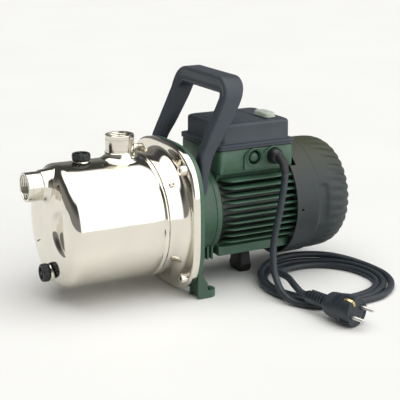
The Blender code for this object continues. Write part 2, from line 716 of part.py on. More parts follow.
def build_terminal_box():
    middle = sum(BOX_X) / 2
    half = ((BOX_X[1] - BOX_X[0]) / 2, BOX_HALF_Y)

    def outline(z, inset):
        size = (half[0] - inset, half[1] - inset)
        return rectangle_ring("Z", z, (middle, 0), size, 0.006 - min(inset, 0.003))

    floor = PAD_TOP_Z + GAP
    box = add_object("terminal_box", cup(outline, floor, BOX_TOP_Z, 0.0035, 0.003), "green_paint")
    pad = block((0.0925, 0.1530), (-0.0585, -0.0525), (floor, BOX_TOP_Z - 0.002))
    combine(box, "UNION", pad, "gland_pad")
    holes = bmesh.new()
    for x in (GLAND_X, KNOCKOUT_X):
        drill = [(-0.07, 0), (-0.07, GLAND_HOLE_RADIUS), (-0.04, GLAND_HOLE_RADIUS), (-0.04, 0)]
        turned("Y", drill, 20, (x, HOLE_Z), False, holes)
    combine(box, "DIFFERENCE", holes, "cut_gland_holes")

    def gasket_outline(z, inset):
        size = (half[0] - 0.0005 - inset, half[1] - 0.0005 - inset)
        return rectangle_ring("Z", z, (middle, 0), size, 0.0055 - min(inset, 0.003))

    low, high = BOX_TOP_Z + GAP, BOX_TOP_Z + 0.0012
    gasket = [gasket_outline(low, 0), gasket_outline(high, 0), gasket_outline(high, 0.003)]
    gasket.append(gasket_outline(low, 0.003))
    add_object("lid_gasket", loft(gasket, closed=True), "rubber")


def build_lid():
    """The deep lid: a rim over the box and a raised body with a seat for the switch."""
    rim_middle, rim_half = sum(BOX_X) / 2, ((BOX_X[1] - BOX_X[0]) / 2 + 0.0015, BOX_HALF_Y + 0.002)
    body_middle, body_half = sum(LID_X) / 2, ((LID_X[1] - LID_X[0]) / 2, LID_HALF_Y)

    def rim(z, inset):
        half = (rim_half[0] - inset, rim_half[1] - inset)
        return rectangle_ring("Z", z, (rim_middle, 0), half, 0.007, 4)

    def body(z, inset, corner=0.009):
        half = (body_half[0] - inset, body_half[1] - inset)
        return rectangle_ring("Z", z, (body_middle, 0), half, corner, 4)

    base = BOX_TOP_Z + 0.0015
    rings = [
        body(LID_TOP_Z, 0.005, 0.004),
        body(LID_TOP_Z - 0.0014, 0.0014, 0.0076),
        body(LID_TOP_Z - 0.005, 0.0),
        body(LID_RIM_TOP_Z, 0.0),
        rim(LID_RIM_TOP_Z, 0.0),
        rim(base, 0.0),
        rim(base, 0.006),
        body(LID_RIM_TOP_Z - LID_WALL, LID_WALL, 0.0065),
        body(LID_TOP_Z - 0.005, LID_WALL, 0.0065),
        body(LID_TOP_Z - LID_WALL, 0.0065, 0.0025),
    ]
    lid = add_object("box_lid", loft(rings), "slate_plastic")
    hole = block(
        (SWITCH_X - 0.0067, SWITCH_X + 0.0067),
        (SWITCH_Y - 0.0142, SWITCH_Y + 0.0142),
        (LID_TOP_Z - 0.008, LID_TOP_Z + 0.004),
    )
    combine(lid, "DIFFERENCE", hole, "cut_switch_hole")


def build_switch():
    """Switch body in the lid, a rocker on its pivot and a clear boot over it."""
    top = LID_TOP_Z + 0.0003

    def outline(half_x, half_y, z, corner=0.001):
        return rectangle_ring("Z", z, (0, 0), (half_x, half_y), corner, 2)

    base = [
        outline(0.0063, 0.0138, -0.020),
        outline(0.0063, 0.0138, 0.0),
        outline(0.0074, 0.0152, 0.0, 0.0045),
        outline(0.0074, 0.0152, 0.0012, 0.0045),
        outline(SWITCH_HALF_X + 0.0004, SWITCH_HALF_Y + 0.0006, 0.0012),
        outline(SWITCH_HALF_X + 0.0004, SWITCH_HALF_Y + 0.0006, -0.0120),
    ]
    origin = SHAFT + Vector((SWITCH_X, SWITCH_Y, top))
    add_object("switch_base", loft(base), "black_plastic", origin)

    pivot_drop = 0.0035
    outline_yz = [(-0.0118, -0.004), (0.0, -0.0065), (0.0118, -0.004), (0.0118, 0.0035)]
    outline_yz += [(0.006, 0.0047), (0.0, 0.0050), (-0.006, 0.0047), (-0.0118, 0.0035)]
    rocker = prism("X", -SWITCH_HALF_X, SWITCH_HALF_X, outline_yz)
    pivot = origin - Vector((0, 0, pivot_drop))
    add_object("switch_rocker", rocker, "black_plastic", pivot).rotation_euler.x = ROCKER_REST_TILT

    boot = [
        outline(0.0086, 0.0178, GAP, 0.0055),
        outline(0.0086, 0.0178, 0.0040, 0.0055),
        outline(0.0078, 0.0168, 0.0056, 0.0050),
        outline(0.0060, 0.0150, 0.0062, 0.0035),
    ]
    inner = [
        outline(0.0048, 0.0138, 0.0054, 0.0030),
        outline(0.0068, 0.0158, 0.0048, 0.0045),
        outline(0.0078, 0.0170, 0.0036, 0.0050),
        outline(0.0078, 0.0170, 0.0016, 0.0050),
    ]
    mouth = [outline(0.0078, 0.0170, GAP, 0.0050)]
    skin = loft([*boot[::-1], *mouth, *inner[::-1]])
    add_object("switch_boot", skin, "clear_silicone", origin)


def build_box_contents():
    """Capacitor and terminal block inside the box, and the fittings in its side."""
    capacitor = [(0.070, 0), (0.070, 0.0145), (0.120, 0.0145), (0.120, 0)]
    add_object("run_capacitor", turned("X", capacitor, 24, (0.028, 0.0845), False), "grey_plastic")
    terminals = block((0.080, 0.118), (-0.030, -0.012), (PAD_TOP_Z + 0.0037, 0.083))
    add_object("terminal_block", terminals, "grey_plastic")

    bore = CORD_RADIUS + GAP
    pad = -0.0585
    gland = [(-0.0470, bore), (-0.0470, GLAND_HOLE_RADIUS - GAP), (pad - GAP, GLAND_HOLE_RADIUS - GAP)]
    gland += [(pad - GAP, 0.0120), (pad - 0.005, 0.0120), (pad - 0.0105, 0.0096), (pad - 0.0130, 0.0062)]
    gland += [(pad - 0.0130, bore)]
    add_object("cable_gland", turned("Y", gland, 20, (GLAND_X, HOLE_Z)), "black_plastic")
    knockout = [(-0.0505, 0), (-0.0505, GLAND_HOLE_RADIUS - GAP), (-0.0565, GLAND_HOLE_RADIUS - GAP)]
    knockout += [(-0.0585, 0.0055), (-0.0590, 0)]
    add_object("knockout_plug", turned("Y", knockout, 20, (KNOCKOUT_X, HOLE_Z), False), "green_paint")


# ---------------------------------------------------------------- handle and foot
def handle_edges(z):
    """Front and rear edges of the handle's side view at a height."""
    front = ((0.036, 0.0205), (0.086, 0.0195), (0.127, 0.0390), (0.157, 0.0530), (0.1815, 0.0605))
    rear = ((0.036, 0.0280), (0.062, 0.0330), (0.0804, 0.0370), (0.0896, 0.0412))
    rear += ((0.104, 0.0515), (0.141, 0.0730), (0.168, 0.0855), (0.1815, 0.0890))

    def read(line):
        for (z0, x0), (z1, x1) in zip(line, line[1:]):
            if z <= z1:
                return x0 + (x1 - x0) * max(z - z0, 0) / (z1 - z0)
        return line[-1][1]

    return read(front), read(rear)


def build_handle():
    """A rigid carry handle: two raked legs and a top bar, drawn as rings along its middle line."""
    leg_half, bar_half = HANDLE_LEG_WIDTH / 2, HANDLE_BAR_HEIGHT / 2
    middle_y = HANDLE_HALF_WIDTH - leg_half
    bar_z = HANDLE_TOP_Z - bar_half
    centre_y, centre_z = middle_y - HANDLE_CORNER, bar_z - HANDLE_CORNER
    leg_heights = (HANDLE_BOTTOM_Z, 0.050, 0.066, 0.078, 0.086, 0.096, 0.112, 0.127, 0.140)
    line = [(middle_y, z, 0.0) for z in leg_heights]
    for step in range(7):
        angle = math.pi / 2 * step / 6
        y = centre_y + HANDLE_CORNER * math.cos(angle)
        line.append((y, centre_z + HANDLE_CORNER * math.sin(angle), angle))
    line += [(-y, z, math.pi - angle) for y, z, angle in reversed(line)]
    rings = []
    for y, z, angle in line:
        reach = leg_half + (bar_half - leg_half) * math.sin(angle)
        front, rear = handle_edges(z)
        bevel = min(0.004, (rear - front) * 0.25)
        points = []
        for across, x in (
            (-reach, front + bevel),
            (-reach + bevel, front),
            (reach - bevel, front),
            (reach, front + bevel),
            (reach, rear - bevel),
            (reach - bevel, rear),
            (-reach + bevel, rear),
            (-reach, rear - bevel),
        ):
            points.append((x, y + across * math.cos(angle), z + across * math.sin(angle)))
        rings.append(points)
    add_object("carry_handle", loft(rings), "slate_plastic")


def build_rear_foot():
    """The rubber foot under the motor."""
    middle = (0.120, 0)
    rings = [
        rectangle_ring("Z", GROUND, middle, (0.0085, 0.0140), 0.002, 3),
        rectangle_ring("Z", GROUND + 0.010, middle, (0.0095, 0.0160), 0.003, 3),
        rectangle_ring("Z", BASE_PAD_Z - GAP, middle, (0.0070, 0.0120), 0.003, 3),
    ]
    add_object("rear_foot", loft(rings), "rubber")


# ---------------------------------------------------------------- mains cord
DROP_ROUTE = [
    (0.1360, -0.0722, 0.0725),
    (0.1350, -0.0829, 0.0675),
    (0.1324, -0.0913, 0.0592),
    (0.1293, -0.0963, 0.0480),
    (0.1247, -0.0988, 0.0280),
    (0.1208, -0.1000, 0.0110),
    (0.1163, -0.1015, -0.0060),
    (0.1112, -0.1035, -0.0220),
    (0.1072, -0.1070, -0.0380),
    (0.1045, -0.1120, -0.0525),
    (0.1022, -0.1185, -0.0650),
    (0.1008, -0.1290, -0.0760),
    (0.1000, -0.1430, -0.0856),
    (0.1040, -0.1570, -0.0918),
    (0.1110, -0.1695, -0.0938),
    (0.1210, -0.1810, -0.0938),
    (0.1345, -0.1905, -0.0938),
    (0.1500, -0.1962, -0.0938),
    (0.1680, -0.1975, -0.0938),
]


def plug_frame():
    """Rotation and middle of the plug's face, with +X along its nose."""
    turn = Matrix.Rotation(PLUG_HEADING, 4, "Z") @ Matrix.Rotation(PLUG_ROLL, 4, "X")
    return turn, Vector((*PLUG_FACE, CORD_GROUND + PLUG_RADIUS))


def tail_route():
    """From the top of the coil to the plug's strain relief."""
    turn, face = plug_frame()
    start = face + turn @ Vector((-PLUG_LENGTH - 6 * GAP, 0, 0))
    back = turn @ Vector((-1, 0, 0))
    top = CORD_GROUND + COIL_HEIGHT + CORD_RADIUS + GAP
    return [
        (0.1225, -0.1120, top),
        (0.1212, -0.1240, top),
        (0.1170, -0.1380, top),
        (0.1127, -0.1520, top - 0.0002),
        (0.1112, -0.1630, top - 0.0020),
        start + 0.008 * back,
        start,
    ]


def build_cord():
    add_cord("cord_drop", DROP_ROUTE)
    add_cord("cord_tail", tail_route())
    low, high = CORD_GROUND, CORD_GROUND + COIL_HEIGHT
    inner, outer, bevel = COIL_INNER_RADIUS, COIL_OUTER_RADIUS, 0.003
    profile = [(low, inner + bevel), (low, outer - bevel), (low + bevel, outer), (high - bevel, outer)]
    profile += [(high, outer - bevel), (high, inner + bevel), (high - bevel, inner), (low + bevel, inner)]
    add_object("cord_coil", turned("Z", profile, 32, COIL_CENTRE), "cord_rubber")


def build_plug():
    """An earthed mains plug with its strain relief, and two round pins."""
    turn, face = plug_frame()
    origin = SHAFT + face
    length = PLUG_LENGTH
    stations = [(-length, 0.0060), (-length + 0.030, 0.0085), (-0.047, 0.0110), (-0.040, 0.0165)]
    stations += [(-0.026, 0.0175), (-0.020, PLUG_RADIUS - 0.0008), (0.0, PLUG_RADIUS - 0.0008)]
    profile = [(-length, 0), *stations, (0.0, 0)]
    plug = add_object("mains_plug", turned("X", profile, 24, closed=False), "black_plastic", origin)
    plug.rotation_euler = turn.to_euler()
    holes = bmesh.new()
    for side in (-1, 1):
        drill = [(-0.010, 0), (-0.010, PIN_RADIUS + GAP), (0.002, PIN_RADIUS + GAP), (0.002, 0)]
        turned("X", drill, 12, (side * 0.0095, 0), False, holes)
    combine(plug, "DIFFERENCE", holes, "cut_pin_holes", origin)
    bpy.data.objects["cut_pin_holes"].rotation_euler = turn.to_euler()
    for side, label in ((-1, "a"), (1, "b")):
        pin = [(-0.0095, 0), (-0.0095, PIN_RADIUS), (PIN_LENGTH - 0.001, PIN_RADIUS)]
        pin += [(PIN_LENGTH, PIN_RADIUS - 0.001), (PIN_LENGTH, 0)]
        shape = turned("X", pin, 12, (side * 0.0095, 0), False)
        add_object(f"plug_pin_{label}", shape, "machined_steel", origin).rotation_euler = turn.to_euler()


def main():
    clear_scene()
    build_casing()
    build_ports()
    filler = Vector((FILLER_X, 0, BARREL_RADIUS + PLUG_STANDOFF))
    drain = Vector((FACE_X - PLUG_STANDOFF, 0, DRAIN_Z))
    build_screw_plug("filler", SHAFT + filler, Vector((0, 0, 1)))
    build_screw_plug("drain", SHAFT + drain, Vector((-1, 0, 0)))
    build_hydraulics()
    build_bracket()
    build_casing_bolts()
    build_motor()
    build_fan_cover()
    build_terminal_box()
    build_lid()
    build_switch()
    build_box_contents()
    build_handle()
    build_rear_foot()
    build_cord()
    build_plug()


main()
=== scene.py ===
"""Looks of a shallow well jet pump: polished casing, finned motor, carry handle and coiled mains cord.

Most pieces are drawn in the shaft frame, whose origin lies on the shaft's axis at the casing
flange, with X along the shaft towards the fan and Z up. All sizes are in metres.
"""

import math

import bmesh
import bpy
from bpy.props import FloatProperty, FloatVectorProperty, IntProperty, PointerProperty
from mathutils import Matrix, Vector


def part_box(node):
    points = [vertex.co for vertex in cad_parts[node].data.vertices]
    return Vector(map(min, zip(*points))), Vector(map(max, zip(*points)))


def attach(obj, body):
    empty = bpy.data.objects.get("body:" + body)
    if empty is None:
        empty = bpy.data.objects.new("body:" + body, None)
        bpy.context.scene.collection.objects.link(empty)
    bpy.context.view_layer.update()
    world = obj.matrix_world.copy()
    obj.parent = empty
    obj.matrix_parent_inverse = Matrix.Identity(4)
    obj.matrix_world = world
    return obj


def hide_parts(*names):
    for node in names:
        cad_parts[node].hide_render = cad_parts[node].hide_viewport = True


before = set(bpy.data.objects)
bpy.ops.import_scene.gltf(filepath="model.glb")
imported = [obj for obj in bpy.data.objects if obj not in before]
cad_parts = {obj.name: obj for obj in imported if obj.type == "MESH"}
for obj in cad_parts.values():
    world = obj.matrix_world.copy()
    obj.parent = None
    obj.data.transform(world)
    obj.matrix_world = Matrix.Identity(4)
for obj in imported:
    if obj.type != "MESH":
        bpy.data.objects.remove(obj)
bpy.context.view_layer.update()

bl_info = {
    "name": "Jet pump looks",
    "version": (1, 0, 0),
    "blender": (4, 5, 0),
    "location": "View3D > Sidebar > Jet pump",
    "description": "Builds the visible pieces and finishes of a shallow well jet pump",
    "category": "Object",
}

# ---------------------------------------------------------------- driving sizes
COVER_END_X = 0.259
COVER_LOW, COVER_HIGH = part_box("fan_cover")
SHAFT = Vector((COVER_HIGH.x - COVER_END_X, 0, (COVER_LOW.z + COVER_HIGH.z) / 2))
GROUND = -SHAFT.z
GAP = 0.0003

BARREL_RADIUS = 0.0802
CASING_WALL = 0.0012
FACE_X = -0.160
FACE_CORNER_DEPTH = 0.018
BEAD_X = -0.030
FLANGE_HALF_SIDE = 0.0955
FLANGE_POWER = 3.2
LIP_END_X = 0.0078
BOLT_OFFSET = 0.071
BOLT_RADIUS = 0.004

PORT_RADIUS = 0.0185
PORT_BORE = 0.01515
SUCTION_Z = 0.0552
SUCTION_MOUTH_X = -0.1883
DELIVERY_X = -0.0589
DELIVERY_MOUTH_Z = 0.1099
FILLER_X = -0.112
DRAIN_Z = -0.059
SCREW_HEAD_RADIUS = 0.0118
SCREW_HEAD_HEIGHT = 0.0083
PLUG_STANDOFF = 0.0024
SCREW_SHANK_RADIUS = 0.0062

HOUSING_X = (0.058, 0.1665)
FIN_PITCH = 0.009
FIN_COUNT = 10
LOWEST_FIN_Z = -0.0365
FIN_ROOT_RADIUS = 0.060
FIN_REACH = 0.0702
FIN_LIMIT_RADIUS = 0.0765
STATOR_RADIUS = 0.055
PAD_TOP_Z = 0.062
BASE_PAD_Z = -0.0575
COVER_START_X = 0.1616
COVER_RADIUS = 0.0795
COVER_WALL = 0.0022

BOX_X = (0.0565, 0.169)
BOX_HALF_Y = 0.054
BOX_TOP_Z = 0.084
LID_RIM_TOP_Z = 0.092
LID_X = (0.0605, 0.167)
LID_HALF_Y = 0.0485
LID_TOP_Z = 0.117
GLAND_X = 0.136
KNOCKOUT_X = 0.1075
HOLE_RADIUS = 0.0092
HOLE_Z = 0.0725
SWITCH_X = 0.1465
SWITCH_Y = -0.0155

HANDLE_HALF_WIDTH = 0.0735
HANDLE_LEG_WIDTH = 0.017
HANDLE_BAR_HEIGHT = 0.0215
HANDLE_BOTTOM_Z = 0.036
HANDLE_TOP_Z = 0.1815
HANDLE_CORNER = 0.018
HANDLE_BEVEL = 0.0042
HANDLE_GROOVE_DEPTH = 0.0007
HANDLE_GROOVE_START_Z = 0.060
HANDLE_FOOT_TOP_Z = 0.041

CORD_RADIUS = 0.0044
CORD_GROUND = GROUND + 0.0002
COIL_CENTRE = (0.1905, -0.103)
COIL_HEIGHT = 0.0182
PLUG_FACE = (0.1335, -0.2575)
PLUG_LENGTH = 0.081
PLUG_HEADING = math.radians(-76)
PLUG_ROLL = math.radians(28)
PLUG_RADIUS = 0.019
PIN_RADIUS = 0.0024
PIN_LENGTH = 0.019
PIN_OFFSET = 0.0095
PIN_HOLE_RADIUS = 0.0034

CAMERA_PLACE = (-0.67854, -1.31683, 0.51566)
CAMERA_HEADING = math.radians(28.0)
CAMERA_TILT = math.radians(15.35)
CAMERA_LENS = 103.93


# ---------------------------------------------------------------- settings
def length_setting(name, description, default):
    return FloatProperty(
        name=name, description=description, default=default, unit="LENGTH", subtype="DISTANCE"
    )


def colour_setting(name, description, *default):
    return FloatVectorProperty(name=name, description=description, default=default, size=3, subtype="COLOR")


def strength_setting(name, description, default):
    return FloatProperty(name=name, description=description, default=default)


class PumpSizes(bpy.types.PropertyGroup):
    """Sizes of the details that the CAD frame doesn't fix."""

    bead_height: length_setting("Bead height", "How far the bead stands out of the casing's barrel", 0.0015)
    scoop_depth: length_setting(
        "Scoop depth", "Deepest point of the two scoops pressed into the front face", 0.0060
    )
    thread_pitch: length_setting("Thread pitch", "Pitch of the pipe threads in both ports", 0.0023)
    rib_height: length_setting(
        "Rib height", "How deep the valleys between the fan cover's ribs are", 0.0030
    )
    cover_ribs: IntProperty(
        name="Cover ribs", description="Ribs around the rear of the fan cover", default=36
    )


class PumpColours(bpy.types.PropertyGroup):
    """Base colours of the finishes."""

    steel: colour_setting("Steel", "Polished stainless steel", 0.80, 0.765, 0.68)
    paint: colour_setting("Paint", "Green enamel on the castings", 0.032, 0.086, 0.050)
    slate: colour_setting("Slate", "Handle and lid plastic", 0.033, 0.043, 0.056)
    cover: colour_setting("Cover", "Fan cover plastic", 0.021, 0.029, 0.032)
    cord: colour_setting("Cord", "Rubber sheath of the cord", 0.016, 0.023, 0.030)
    boot: colour_setting("Switch boot", "Cloudy silicone boot", 0.42, 0.47, 0.40)


class PumpStage(bpy.types.PropertyGroup):
    """Light and floor around the pump."""

    front_light: strength_setting("Front light", "Strength of the wall of light in front", 1.75)
    high_light: strength_setting("High light", "Strength of the sloping light above it", 2.1)
    roof_light: strength_setting("Roof light", "Strength of the light straight above", 2.4)
    dark_light: strength_setting("Dark panels", "Strength of the black panels", 0.06)
    floor: colour_setting("Floor", "Pale floor", 0.78, 0.78, 0.77)


# ---------------------------------------------------------------- shader maths
class Value:
    """A shader socket that Python's operators work on; each operation adds a Math node."""

    def __init__(self, nodes, socket):
        self.nodes = nodes
        self.socket = socket

    def other(self, output):
        """Another output of the same node."""
        return Value(self.nodes, self.socket.node.outputs[output])

    def math(self, operation, first, second):
        return self.nodes.math(operation, first, second)

    def __add__(self, value):
        return self.math("ADD", self, value)

    def __sub__(self, value):
        return self.math("SUBTRACT", self, value)

    def __rsub__(self, value):
        return self.math("SUBTRACT", value, self)

    def __mul__(self, value):
        return self.math("MULTIPLY", self, value)

    def __pow__(self, value):
        return self.math("POWER", self, value)

    __radd__ = __add__
    __rmul__ = __mul__


class Nodes:
    """Adds nodes to one tree."""

    def __init__(self, tree):
        self.tree = tree

    def connect(self, socket, value):
        if isinstance(value, Value):
            self.tree.links.new(value.socket, socket)
        elif socket.type == "RGBA":
            socket.default_value = (*value[:3], 1)
        else:
            socket.default_value = value

    def add(self, kind, settings=None, values=None, output=0):
        """A node of a kind, with its settings made first, then the values or links of its sockets."""
        node = self.tree.nodes.new(f"ShaderNode{kind}")
        for name, setting in (settings or {}).items():
            setattr(node, name, setting)
        for key, value in (values or {}).items():
            self.connect(node.inputs[key], value)
        return Value(self, node.outputs[output])

    def math(self, operation, first, second):
        return self.add("Math", {"operation": operation}, {0: first, 1: second})

    def place(self):
        """Coordinates in the piece's own frame, in metres."""
        return self.add("TexCoord", output="Object")

    def noise(self, size, detail=3.0, stretch=(1, 1, 1), roughness=0.5):
        """Cloudy noise whose blotches are about this size, in metres, stretched along the axes."""
        scaled = [1 / (size * factor) for factor in stretch]
        where = self.add("VectorMath", {"operation": "MULTIPLY"}, {0: self.place(), 1: scaled})
        values = {"Vector": where, "Scale": 1.0, "Detail": detail, "Roughness": roughness}
        return self.add("TexNoise", values=values)

    def ease(self, value, low, high, first=0.0, last=1.0):
        """A smooth step between two values."""
        values = {"Value": value, "From Min": low, "From Max": high, "To Min": first, "To Max": last}
        return self.add("MapRange", {"interpolation_type": "SMOOTHSTEP"}, values)

    def mix(self, share, first, second):
        """A colour between two colours."""
        return self.add("Mix", {"data_type": "RGBA"}, {0: share, 6: first, 7: second}, output=2)

    def bump(self, height, distance, normal=None):
        values = {"Height": height, "Distance": distance, "Strength": 1.0}
        if normal:
            values["Normal"] = normal
        return self.add("Bump", values=values)

    def worn(self, low=0.52, high=0.60):
        """Edges that stand proud."""
        return self.ease(self.add("NewGeometry", output="Pointiness"), low, high)


FINISHES = {}


def make_finish(name, build):
    """A material whose principled shader takes what the builder returns for its sockets."""
    material = bpy.data.materials.new(name)
    material.use_nodes = True
    nodes = Nodes(material.node_tree)
    shader = material.node_tree.nodes["Principled BSDF"]
    for key, value in build(nodes).items():
        nodes.connect(shader.inputs[key], value)
    FINISHES[name] = material


def shaded(colour, factor):
    return tuple(min(1.0, channel * factor) for channel in colour)


def steel_finish(colour, gloss, smear, streak):
    """Polished or machined metal: faint clouds, smears and fine lines drawn around the shaft."""

    def build(n):
        cloud = n.noise(0.05, 2.0)
        smears = n.noise(0.012, 4.0, (2.5, 1, 1))
        lines = n.noise(0.0006, 2.0, (0.4, 30, 30))
        ripple = n.bump(n.noise(0.022, 1.0), 0.00008)
        return {
            "Base Color": n.mix(n.ease(cloud, 0.3, 0.7), shaded(colour, 0.95), colour),
            "Metallic": 1.0,
            "Roughness": gloss + n.ease(smears, 0.45, 0.8) * smear + lines * streak,
            "Normal": n.bump(lines, 0.0000025, ripple),
        }

    return build


def plastic_finish(colour, roughness, grain, depth, painted_reflection_colour=None):
    """Moulded plastic: spark-eroded grain, faint clouding, paler worn edges, and a painted reflection
    towards the top when a reflection colour is given.
    """

    def build(n):
        cloud = n.ease(n.noise(0.030, 3.0), 0.3, 0.7)
        speck = n.noise(grain, 2.0)
        base = n.mix(cloud, shaded(colour, 0.88), shaded(colour, 1.08))
        # Painted reflection: the colour blends towards the given colour higher up the piece, standing in
        # for a reflection on the top.
        if painted_reflection_colour:
            height = n.add("SeparateXYZ", values={0: n.place()}, output=2)
            base = n.mix(n.ease(height, 0.030, 0.080, 0.0, 0.85), base, painted_reflection_colour)
        base = n.mix(n.worn() * 0.5, base, shaded(colour, 1.9))
        return {
            "Base Color": base,
            "Roughness": roughness + speck * 0.12 + cloud * 0.05,
            "Normal": n.bump(speck, depth),
            "Specular IOR Level": 0.5,
        }

    return build


def paint_finish(colour, roughness, painted_gap_shade=False):
    """Enamel over a sand casting: pitted, with paler edges, and painted shade between the fins if there are
    any.
    """

    def build(n):
        cloud = n.ease(n.noise(0.025, 4.0), 0.35, 0.7)
        pits = n.noise(0.0011, 3.0, roughness=0.65)
        peel = n.noise(0.0045, 1.0)
        base = n.mix(cloud, shaded(colour, 0.82), shaded(colour, 1.12))
        base = n.mix(n.ease(pits, 0.60, 0.75) * 0.35, base, shaded(colour, 0.5))
        base = n.mix(n.worn(0.53, 0.62) * 0.7, base, shaded(colour, 2.1))
        # Painted shade: the paint darkens towards the fin roots, standing in for the shade deep in the gaps
        # between the fins.
        if painted_gap_shade:
            y = n.add("SeparateXYZ", values={0: n.place()}, output=1)
            out = n.math("SQRT", y * y + y.other(2) * y.other(2), 0)
            base = n.mix(
                n.ease(out, FIN_ROOT_RADIUS + 0.0005, FIN_REACH + 0.0002), shaded(colour, 0.10), base
            )
        return {
            "Base Color": base,
            "Roughness": roughness + pits * 0.18 - cloud * 0.05,
            "Specular IOR Level": 0.7,
            "Normal": n.bump(pits, 0.00018, n.bump(peel, 0.00025)),
        }

    return build


def rubber_finish(colour, roughness, dust):
    """Soft rubber with a fine matt grain and a little dust."""

    def build(n):
        cloud = n.ease(n.noise(0.018, 4.0), 0.4, 0.75)
        grain = n.noise(0.0005, 2.0)
        base = n.mix(cloud * dust, colour, shaded(colour, 2.2))
        return {
            "Base Color": base,
            "Roughness": roughness + grain * 0.12,
            "Normal": n.bump(grain, 0.00006),
        }

    return build


def silicone_finish(colour):
    """Cloudy silicone that lets a little light through."""

    def build(n):
        cloud = n.ease(n.noise(0.006, 3.0), 0.3, 0.7)
        return {
            "Base Color": n.mix(cloud, shaded(colour, 0.86), shaded(colour, 1.08)),
            "Roughness": 0.32 + cloud * 0.10,
            "Subsurface Weight": 0.35,
            "Subsurface Radius": (0.004, 0.004, 0.003),
            "Subsurface Scale": 1.0,
            "Normal": n.bump(n.noise(0.0016, 2.0), 0.00005),
        }

    return build


def copper_finish(n):
    """Varnished winding wire: strands wound over each other."""
    strands = n.noise(0.0009, 1.0, (14, 14, 1))
    cloud = n.ease(n.noise(0.008, 3.0), 0.3, 0.7)
    return {
        "Base Color": n.mix(cloud, (0.42, 0.15, 0.05), (0.62, 0.28, 0.12)),
        "Metallic": 0.9,
        "Roughness": 0.28 + strands * 0.2,
        "Normal": n.bump(strands, 0.0002),
    }


def lamination_finish(n):
    """Stacked steel sheets seen from their edges."""
    sheets = n.noise(0.0005, 1.0, (1, 200, 200))
    rust = n.ease(n.noise(0.010, 4.0), 0.5, 0.75)
    return {
        "Base Color": n.mix(rust, (0.22, 0.22, 0.23), (0.20, 0.12, 0.07)),
        "Metallic": 0.8,
        "Roughness": 0.40 + sheets * 0.25,
        "Normal": n.bump(sheets, 0.00015),
    }


def ceramic_finish(n):
    """Lapped ceramic with faint speckles."""
    speck = n.noise(0.0008, 2.0)
    return {
        "Base Color": n.mix(n.ease(speck, 0.4, 0.7), (0.74, 0.72, 0.67), (0.80, 0.78, 0.74)),
        "Roughness": 0.20 + speck * 0.15,
        "Normal": n.bump(speck, 0.00001),
    }


def make_finishes(colours):
    make_finish("polished_steel", steel_finish(colours.steel, 0.055, 0.035, 0.03))
    make_finish("fitting_steel", steel_finish(shaded(colours.steel, 0.93), 0.10, 0.06, 0.08))
    make_finish("machined_steel", steel_finish((0.66, 0.65, 0.62), 0.20, 0.12, 0.15))
    make_finish("brass", steel_finish((0.72, 0.54, 0.27), 0.22, 0.12, 0.12))
    make_finish("laminations", lamination_finish)
    make_finish("copper", copper_finish)
    make_finish("ceramic", ceramic_finish)
    make_finish("green_paint", paint_finish(colours.paint, 0.38))
    # fin_paint carries painted shade between the fins.
    make_finish("fin_paint", paint_finish(colours.paint, 0.38, True))
    make_finish("slate_plastic", plastic_finish(colours.slate, 0.42, 0.0006, 0.00005))
    make_finish("slate_panel", plastic_finish(shaded(colours.slate, 0.85), 0.60, 0.0016, 0.00060))
    # The fan cover's olive colour towards its top is a painted reflection.
    make_finish(
        "cover_plastic", plastic_finish(colours.cover, 0.42, 0.0007, 0.00006, (0.034, 0.040, 0.014))
    )
    make_finish("black_plastic", plastic_finish((0.010, 0.012, 0.014), 0.30, 0.0005, 0.00004))
    make_finish("grey_plastic", plastic_finish((0.35, 0.36, 0.36), 0.40, 0.0006, 0.00005))
    make_finish("clear_silicone", silicone_finish(colours.boot))
    make_finish("rubber", rubber_finish((0.009, 0.010, 0.011), 0.55, 0.4))
    make_finish("cord_rubber", rubber_finish(colours.cord, 0.42, 0.45))


# ---------------------------------------------------------------- shapes
def point_on(axis, along, first, second):
    """A point from its distance along an axis and its other two coordinates."""
    return {"X": (along, first, second), "Y": (first, along, second), "Z": (first, second, along)}[axis]


def polar(radius, angle):
    """The two coordinates of a point at a radius and an angle."""
    return radius * math.cos(angle), radius * math.sin(angle)


def angles(count):
    return [math.tau * i / count for i in range(count)]


def ring(axis, along, radius, count=96, centre=(0, 0)):
    if radius == 0:
        return [point_on(axis, along, *centre)]
    return [
        point_on(axis, along, centre[0] + radius * math.cos(a), centre[1] + radius * math.sin(a))
        for a in angles(count)
    ]


def square_ring(x, half_side, count):
    """A ring round the shaft whose outline is a square with bulging sides and soft corners."""
    points = []
    for angle in angles(count):
        cosine, sine = math.cos(angle), math.sin(angle)
        spread = abs(cosine) ** FLANGE_POWER + abs(sine) ** FLANGE_POWER
        radius = half_side * spread ** (-1 / FLANGE_POWER)
        points.append((x, radius * cosine, radius * sine))
    return points


def rounded_rectangle(centre, half, corner, steps=6):
    points = []
    for quarter, (sx, sy) in enumerate(((1, 1), (-1, 1), (-1, -1), (1, -1))):
        for step in range(steps + 1):
            angle = math.pi / 2 * (quarter + step / steps)
            points.append(
                (
                    centre[0] + sx * (half[0] - corner) + corner * math.cos(angle),
                    centre[1] + sy * (half[1] - corner) + corner * math.sin(angle),
                )
            )
    return points


def rectangle_ring(axis, along, centre, half, corner, steps=6):
    return [point_on(axis, along, *p) for p in rounded_rectangle(centre, half, corner, steps)]


